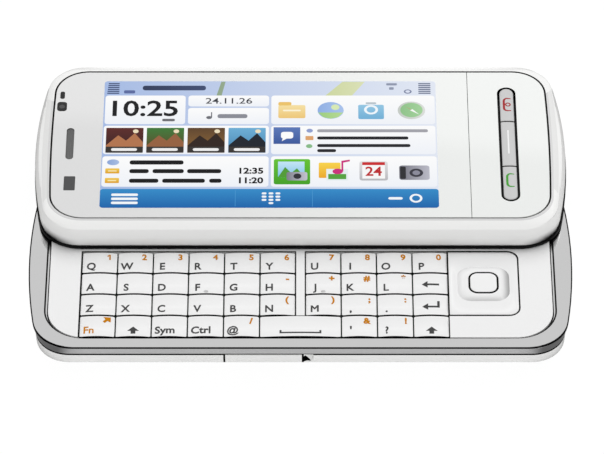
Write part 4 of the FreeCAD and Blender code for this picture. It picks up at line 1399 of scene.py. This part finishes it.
def screen_picture():
    """The home screen as (flat shape, level, colour, far colour, gradient axis) rows.

    Millimetres from the lower left corner of the lit area, 71.2 by 40.06.
    """
    art = []

    def put(flat, level, colour, far=None, axis=0):
        """One shape with its look: level, colour, and far colour and axis of a blend."""
        art.append((flat, level, colour, far or colour, axis))

    def box(place, *look):
        """Rectangle between two corners, with the radius of its own corners."""
        put(box_flat(*place), *look)

    def disc(place, *look):
        """Circle or ellipse."""
        put(filled(circle(*place)), *look)

    def patch(outline, *look):
        """Shape with straight sides."""
        put(filled(outline), *look)

    box((0, 0, 71.2, 40.06, 0.7), 0, "a6bce6", "e4eaf6")
    patch([(47.5, 35.4), (53.2, 35.4), (56.0, 39.9), (51.2, 39.9)], 1, "cfd9a0", "dde3b8")
    patch([(24.1, 35.4), (25.2, 35.4), (26.0, 39.9), (25.1, 39.9)], 1, "93a98c")
    for i in range(6):
        box((0.6 + 0.05 * i, 36.0 + 0.62 * i, 3.2, 36.32 + 0.62 * i), 2, "30406a")
        box((67.5, 36.0 + 0.62 * i, 70.1, 36.32 + 0.62 * i), 2, "5a6484")
    box((4.2, 36.1, 6.6, 37.1, 0.3), 2, "5a6aa0")
    box((8.2, 37.1, 21.8, 38.6, 0.6), 2, "2c3858", "3c4a70")
    box((60.6, 38.7, 62.9, 39.4, 0.2), 2, "8f97ae")
    box((61.2, 37.3, 62.2, 38.1, 0.2), 2, "8f97ae")
    disc((65.2, 36.7, 0.85, 16, 0.8), 2, "7b84a2")
    disc((65.2, 36.7, 0.5, 16, 0.8), 3, "dfe5f6")
    panels = ((0.3, 26.2, 17.5, 35.4), (18.1, 31.9, 35.4, 35.4), (18.1, 26.2, 35.4, 31.4),
              (35.9, 26.2, 70.9, 35.4), (0.2, 16.7, 35.4, 25.7), (35.9, 16.7, 70.9, 25.7),
              (0.2, 6.5, 35.4, 16.0), (35.9, 6.5, 71.0, 16.0))
    for x0, y0, x1, y1 in panels:
        box((x0, y0, x1, y1, 0.7), 2, "f2f5fb", "ffffff", 1)
    put(lettered("10:25", 4.7, middle=8.9, base=28.9, narrow=1.02, weight=0.018), 3, "101014")
    box((12.6, 27.1, 15.3, 27.9, 0.3), 3, "6a6a70")
    put(lettered("24.11.26", 1.75, middle=26.8, base=32.8, narrow=1.15, weight=0.008), 3,
        "3a3c44")
    disc((22.6, 28.3, 0.62, 14, 0.8), 3, "6a6c74")
    box((23.0, 28.3, 23.25, 30.0), 3, "6a6c74")
    box((24.4, 28.1, 30.8, 29.4, 0.52), 3, "8a8c96")
    icons_y = 30.6
    box((37.4, icons_y - 2.5, 43.2, icons_y + 1.7, 0.4), 3, "f0c876", "f9e3a4", 1)
    box((37.4, icons_y + 1.5, 40.2, icons_y + 2.7, 0.4), 3, "eec468")
    box((38.4, icons_y - 0.3, 42.2, icons_y + 0.2, 0.2), 4, "fff6da")
    disc((48.6, icons_y, 2.8, 28, 0.96), 3, "8fb0e6", "a9c4ee")
    patch([(45.9, icons_y - 0.7), (51.3, icons_y - 0.7), (50.2, icons_y - 2.2),
                (48.6, icons_y - 2.7), (47.0, icons_y - 2.2)], 4, "9ccf7e", "b7dc93")
    disc((49.6, icons_y + 1.0, 0.9, 16), 4, "d9ecb6")
    box((54.5, icons_y - 2.8, 60.0, icons_y + 1.8, 0.4), 3, "6fb0d8", "93c8e6", 1)
    put(ring_band(circle(57.25, icons_y + 0.2, 1.5), circle(57.25, icons_y + 0.2, 0.95)), 4,
        "f4faff")
    box((56.1, icons_y + 2.0, 58.4, icons_y + 2.6, 0.3), 3, "b8c4cc")
    disc((65.9, icons_y, 2.95, 28, 0.96), 3, "c6ccc6", "dde0dc")
    disc((65.9, icons_y + 0.1, 2.4, 28, 0.96), 4, "8fc48a", "a4d49c")
    patch([(65.6, icons_y + 0.0), (67.5, icons_y - 1.3), (66.1, icons_y + 0.35)], 5,
        "ffffff")
    patch([(65.7, icons_y + 0.35), (64.5, icons_y + 1.3), (66.1, icons_y - 0.1)], 5,
        "d46a5c")
    tiles = ((0.75, "5c2420", "1c1014", "b4744c"), (9.4, "3a7a34", "5a2418", "96603c"),
             (18.1, "5c4024", "8c6430", "2c1c14"), (26.8, "6cb0d8", "3c80b0", "141c28"))
    for x, sky, band, hill in tiles:
        box((x, 17.1, x + 7.95, 25.0, 0.2), 3, band, sky, 1)
        patch([(x + 0.05, 19.4), (x + 2.6, 22.6), (x + 4.3, 20.9), (x + 6.1, 23.3),
                    (x + 7.9, 20.4), (x + 7.9, 17.15), (x + 0.05, 17.15)], 4, hill)
        disc((x + 6.3, 23.9, 0.6, 14), 4, "f0e2c0")
        box((x + 0.05, 17.15, x + 7.9, 19.0), 5, "34302e")
        box((x + 1.2, 17.65, x + 6.7, 18.5, 0.4), 6, "f2f2f2")
    box((36.4, 19.9, 42.1, 25.2), 3, "35559c", "5a78ba", 1)
    box((38.0, 21.6, 40.6, 23.7, 0.6), 4, "ffffff")
    patch([(38.4, 21.9), (38.2, 20.8), (39.5, 21.8)], 4, "ffffff")
    for y, reach, tone in ((23.6, 23.6, "a3a3ab"), (21.3, 19.4, "1c1c22"),
                           (18.9, 19.8, "1c1c22"), (17.3, 4.0, "1c1c22")):
        box((45.7, y, 45.7 + reach, y + 0.95, 0.4), 3, tone)
    disc((44.1, 24.1, 0.7, 14, 0.9), 3, "8f9fd0")
    box((43.2, 21.1, 44.9, 22.4, 0.2), 3, "e0a46c")
    disc((44.0, 19.2, 0.7, 14, 0.9), 3, "86bc86")
    disc((2.5, 14.1, 1.3, 20, 0.7), 3, "8aa6d8", "a9bfe6")
    box((6.0, 13.4, 17.4, 14.7, 0.5), 3, "0c0c10")
    for y in (10.6, 7.6):
        box((0.9, y, 3.9, y + 1.6, 0.2), 3, "e0a020", "f4cc50", 1)
        box((1.5, y + 0.6, 3.3, y + 0.95), 4, "fbe9b0")
    for x, reach, y in ((6.0, 4.1, 10.7), (10.9, 6.6, 10.7), (18.2, 7.2, 10.7),
                        (6.0, 6.2, 7.7), (13.0, 9.0, 7.7), (22.9, 2.6, 7.7)):
        box((x, y, x + reach, y + 1.25, 0.5), 3, "0c0c10")
    put(lettered("12:35", 1.7, right=34.3, base=10.6, narrow=1.0, weight=0.035), 3, "0c0c10")
    put(lettered("11:20", 1.7, right=34.3, base=7.6, narrow=1.0, weight=0.035), 3, "0c0c10")
    box((36.5, 7.2, 44.2, 15.1, 0.5), 3, "3fa01c", "63c42c", 1)
    box((37.4, 9.4, 43.0, 14.3), 4, "7cc4ea", "c6e8f8", 1)
    patch([(37.4, 9.4), (43.0, 9.4), (41.4, 12.2), (40.2, 10.7), (38.9, 12.6)], 5,
        "4f9c30")
    box((39.2, 8.4, 43.6, 11.0, 0.5), 6, "7c7c88", "c4c4d0")
    disc((41.5, 9.7, 0.85, 18), 6.5, "2c2c34")
    box((46.0, 9.2, 50.6, 14.0, 0.3), 3, "eea81c", "fbd648", 1)
    box((47.6, 8.4, 52.2, 12.0), 4, "e8f2f4")
    box((48.0, 8.8, 51.8, 10.4), 5, "52a43a")
    disc((50.0, 11.2, 1.1, 18, 0.8), 5, "cc2a7c")
    patch([(50.8, 11.2), (51.2, 11.2), (51.2, 14.0), (52.6, 14.4), (52.6, 14.9),
                (50.8, 14.5)], 6, "cc2a7c")
    box((54.6, 8.4, 60.6, 14.4, 0.6), 3, "b9b9bd", "e2e2e4", 1)
    box((55.2, 9.0, 60.0, 13.3), 4, "fbfbfb")
    box((55.2, 13.2, 60.0, 14.1), 5, "cc2428")
    put(lettered("24", 2.7, middle=57.6, base=9.9, narrow=0.9, weight=0.02), 5, "c0262a")
    box((63.0, 8.6, 69.4, 13.1, 0.6), 3, "6c6c78", "bcbcc8")
    box((63.2, 8.9, 64.4, 12.7, 0.3), 4, "2c2c30")
    disc((66.6, 10.8, 1.45, 22, 0.9), 4, "3a3a44")
    disc((66.6, 10.8, 0.8, 18, 0.9), 5, "8c8c9c")
    box((0, 0, 71.2, 5.8, 0.7), 2, "1463ac", "318cca", 1)
    box((28.4, 0.4, 28.5, 5.4), 3, "4a9ad2")
    box((44.6, 0.4, 44.7, 5.4), 3, "4a9ad2")
    for y in (3.6, 2.35, 1.1):
        box((2.4, y, 8.0, y + 0.75, 0.3), 3, "f6fafd")
    for row in range(4):
        for column in range(3):
            if row < 3 or column == 1:
                x, y = 34.0 + column * 1.45, 4.1 - row * 1.0
                box((x, y, x + 1.0, y + 0.6, 0.25), 3, "f6fafd")
    put(ring_band(circle(66.4, 2.9, 1.35), circle(66.4, 2.9, 0.85)), 3, "f6fafd")
    box((60.6, 2.5, 63.6, 3.25, 0.35), 3, "f6fafd")
    return art


class PHONE_OT_screen(bpy.types.Operator):
    """Builds the lit home screen under the touch pane's clear window"""

    bl_idname = "phone.make_screen"
    bl_label = "Screen"

    def execute(self, context):
        origin = np.array(SCREEN_CORNER) - (0.0, TRAVEL)
        shapes, shades = [], []
        for flat, level, colour, far, axis in screen_picture():
            points, corners = flat
            height = SCREEN_STEP[0] + SCREEN_STEP[1] * level
            shapes.append(slab((points + origin, corners), LID_TOP + height, height))
            along = points[:, axis]
            share = (along - along.min()) / max(np.ptp(along), 1e-6)
            near_end, far_end = np.array(linear(colour)), np.array(linear(far))
            tones = near_end + (far_end - near_end) * share[:, None]
            shades.append(np.concatenate([tones, tones]))
        shape, _ = joined(shapes)
        screen = new_object("home_screen", in_lid(shape), [lit_display()])
        layer = screen.data.color_attributes.new(FACE_SHADE, "FLOAT_COLOR", "POINT")
        layer.data.foreach_set("color", np.concatenate(shades).ravel())
        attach(screen, "slider")
        return {"FINISHED"}


# ---- rear camera and carried-over parts ---------------------------------------------
class PHONE_OT_rear_camera(bpy.types.Operator):
    """Adds the lens, its ring and the flash to the camera strip underneath"""

    bl_idname = "phone.make_rear_camera"
    bl_label = "Rear camera"

    def execute(self, context):
        x = CAMERA_STRIP[0]
        for name, y, steps, closed, finish, slot, radii, heights in (
                ("rear_lens", 0, 32, False, lens_glass(), "black_plastic",
                 (2.4, 2.4, 1.6, 0.9, 0.05), (0.8, 0.5, 0.4, 0.36, 0.35)),
                ("lens_collar", 0, 48, True, side_key_metal(), "side_key",
                 (3.05, 3.05, 2.95, 2.5, 2.4, 2.4), (0.8, 0.3, 0.22, 0.22, 0.3, 0.8)),
                ("flash_window", 8.6, 24, False, white_ink(), "white_gloss",
                 (1.4, 1.4, 1.1, 0.05), (0.5, 0.28, 0.24, 0.22))):
            rings = [(circle(x, y, radius, steps), z) for radius, z in zip(radii, heights)]
            placed(name, ringed(rings, closed)[0], [finish], "base", slot)
        return {"FINISHED"}


class PHONE_OT_frame_finishes(bpy.types.Operator):
    """Gives the carried-over solids their finishes"""

    bl_idname = "phone.make_frame_finishes"
    bl_label = "Frame finishes"

    def execute(self, context):
        finishes = {
            "keypad_deck": moulded_deck_white(), "slide_rails": brushed_steel(),
            "slide_plate": black_steel(), "main_board": solder_mask(),
            "battery": battery_wrap(), "rear_camera": matte_black(),
            "display_module": matte_black(), "volume_key": side_key_metal(),
            "camera_key": side_key_metal(), "power_key": side_key_metal(),
        }
        for name, finish in finishes.items():
            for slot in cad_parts[name].material_slots:
                slot.material = finish
        return {"FINISHED"}


# ---- floor, surround, lamp and camera -----------------------------------------------
def straight_rays(tree):
    """The light path, and whether a ray comes from the camera or through glass."""
    path = add(tree, "LightPath")
    seen = add(tree, "Math", {0: path.outputs["Is Camera Ray"],
                              1: path.outputs["Is Transmission Ray"]}, operation="MAXIMUM")
    return path, seen


class PHONE_OT_studio(bpy.types.Operator):
    """Sets the floor, the soft light, the white surround and the camera"""

    bl_idname = "phone.make_studio"
    bl_label = "Studio"

    def execute(self, context):
        looks = context.scene.studio_looks
        scene = context.scene
        floor = new_object("floor", prism(rounded_outline(2500.0, 2500.0, 10.0), -4.0, -0.05))
        paper, tree, _ = fresh("white paper sweep")
        tree.nodes.clear()
        path, seen = straight_rays(tree)
        # painted reflection: gloss sees the paper dark beside the phone's ends, so that the
        # band's corners mirror dark
        place = add(tree, "TexCoord")
        split = add(tree, "SeparateXYZ", {"Vector": place.outputs["Object"]})
        away = add(tree, "Math", {0: split.outputs["X"]}, operation="ABSOLUTE")
        card = add(tree, "MapRange", {
            "Value": away.outputs[0], "From Min": PAPER_GLOSS_DARK_SPAN[0] * MM,
            "From Max": PAPER_GLOSS_DARK_SPAN[1] * MM}, interpolation_type="SMOOTHSTEP")
        dark = add(tree, "Math", {0: path.outputs["Is Glossy Ray"],
                                  1: card.outputs["Result"]}, operation="MULTIPLY")
        light = add(tree, "Math", {0: path.outputs["Is Glossy Ray"],
                                   1: dark.outputs[0]}, operation="SUBTRACT", use_clamp=True)
        half = add(tree, "Math", {0: light.outputs[0], 1: 0.5,
                                  2: seen.outputs[0]}, operation="MULTIPLY_ADD")
        share = add(tree, "Math", {0: half.outputs[0], 1: looks.floor_glow,
                                   2: PAPER_GLOW}, operation="MULTIPLY_ADD")
        tone = add(tree, "MapRange", {"Value": dark.outputs[0],
                                      "To Min": PAPER_TONES[0], "To Max": PAPER_TONES[1]})
        plain = add(tree, "BsdfDiffuse", {"Color": tone.outputs["Result"]})
        glow = add(tree, "Emission", {"Color": WHITE, "Strength": PAPER_WHITE})
        blend = add(tree, "MixShader", {0: share.outputs[0],
                                        1: plain.outputs[0], 2: glow.outputs[0]})
        add(tree, "OutputMaterial", {"Surface": blend.outputs[0]})
        floor.data.materials.append(paper)

        world = bpy.data.worlds.new("studio surround")
        scene.world = world
        world.use_nodes = True
        tree = world.node_tree
        tree.nodes.clear()
        path, seen = straight_rays(tree)
        # dark flags stand at both ends, so that edges which face them read as edges
        place = add(tree, "TexCoord")
        split = add(tree, "SeparateXYZ", {"Vector": place.outputs["Generated"]})
        shifted = add(tree, "Math", {0: split.outputs["X"], 1: FLAG_SHIFT},
                      operation="SUBTRACT")
        side = add(tree, "Math", {0: shifted.outputs[0]}, operation="ABSOLUTE")
        flags = add(tree, "MapRange", {
            "Value": side.outputs[0], "From Min": FLAG_SPAN[0], "From Max": FLAG_SPAN[1],
            "To Min": 1.0, "To Max": looks.flag_level}, interpolation_type="SMOOTHSTEP")
        shaded = add(tree, "Math", {0: flags.outputs["Result"],
                                    1: looks.sky_level}, operation="MULTIPLY")
        even = add(tree, "MapRange", {"Value": seen.outputs[0],
                                      "To Min": shaded.outputs[0], "To Max": 1.0})
        # the surround that gloss shows: bright walls, a step at 42 degrees, a dim ceiling
        height = add(tree, "VectorMath", {0: place.outputs["Generated"], 1: GLOSS_TILT},
                     operation="DOT_PRODUCT")
        walls, ledge, bright = (
            add(tree, "MapRange", {"Value": height.outputs["Value"], "From Min": low,
                                   "From Max": high, "To Min": near, "To Max": far})
            for low, high, near, far in (
                GLOSS_WALLS, (*GLOSS_STEP, 0.0), (*GLOSS_STEP_FOOT, 0.0, 1.0)))
        tree.links.new(ledge.outputs["Result"], bright.inputs["To Max"])
        around = add(tree, "Math", {0: walls.outputs["Result"],
                                    1: bright.outputs["Result"]}, operation="ADD")
        around = add(tree, "Math", {0: around.outputs[0], 1: flags.outputs["Result"]},
                     operation="MULTIPLY")
        strength = add(tree, "Mix", {0: path.outputs["Is Glossy Ray"],
                                     2: even.outputs["Result"],
                                     3: around.outputs[0]}, data_type="FLOAT")
        sky = add(tree, "Background", {"Color": WHITE, "Strength": strength.outputs[0]})
        add(tree, "OutputWorld", {"Surface": sky.outputs[0]})

        lamp = bpy.data.lights.new("soft box", "AREA")
        lamp.shape = "RECTANGLE"
        lamp.size, lamp.size_y = LAMP_SIZE
        lamp.energy = looks.lamp_power
        box = bpy.data.objects.new("soft box", lamp)
        box.location = LAMP_PLACE
        box.rotation_euler = (*map(math.radians, LAMP_TURN), 0.0)
        box.visible_glossy = False
        scene.collection.objects.link(box)

        away = np.array([0.0, -math.cos(CAMERA_PITCH), math.sin(CAMERA_PITCH)])
        eye = (np.array(CAMERA_TARGET) + CAMERA_BACK * away) * MM
        lens = bpy.data.cameras.new("camera")
        lens.lens = looks.camera_lens
        lens.sensor_width = 36.0
        lens.clip_start = 0.05
        lens.clip_end = 20.0
        camera = bpy.data.objects.new("camera", lens)
        camera.location = eye.tolist()
        camera.rotation_euler = (math.pi / 2 - CAMERA_PITCH, 0.0, 0.0)
        scene.collection.objects.link(camera)
        scene.camera = camera
        scene.view_settings.view_transform = "Standard"
        return {"FINISHED"}


STEPS = (PHONE_OT_studio, PHONE_OT_cover, PHONE_OT_rim, PHONE_OT_keys, PHONE_OT_navigation,
         PHONE_OT_housing, PHONE_OT_panes, PHONE_OT_screen, PHONE_OT_front_keys,
         PHONE_OT_rear_camera, PHONE_OT_frame_finishes)


class PHONE_PT_panel(bpy.types.Panel):
    """Lists the steps that dress the phone"""

    bl_idname = "PHONE_PT_panel"
    bl_label = "Slider Phone"
    bl_space_type = "VIEW_3D"
    bl_region_type = "UI"
    bl_category = "Phone"

    def draw(self, context):
        layout = self.layout
        for group in (context.scene.phone_looks, context.scene.studio_looks):
            for key in group.__annotations__:
                layout.prop(group, key)
        for step in STEPS:
            layout.operator(step.bl_idname)


CLASSES = (PhoneLooks, StudioLooks, *STEPS, PHONE_PT_panel)


def register():
    """Registers the classes and gives the scene its two groups of settings."""
    for item in CLASSES:
        bpy.utils.register_class(item)
    bpy.types.Scene.phone_looks = bpy.props.PointerProperty(type=PhoneLooks)
    bpy.types.Scene.studio_looks = bpy.props.PointerProperty(type=StudioLooks)


def unregister():
    """Takes back what register did."""
    del bpy.types.Scene.studio_looks
    del bpy.types.Scene.phone_looks
    for item in reversed(CLASSES):
        bpy.utils.unregister_class(item)


def main():
    """Runs every step in order."""
    register()
    for step in STEPS:
        group, call = step.bl_idname.split(".")
        result = getattr(getattr(bpy.ops, group), call)()
        if "FINISHED" not in result:
            raise RuntimeError(step.bl_idname + " did not finish")
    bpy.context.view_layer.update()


if __name__ == "__main__":
    main()
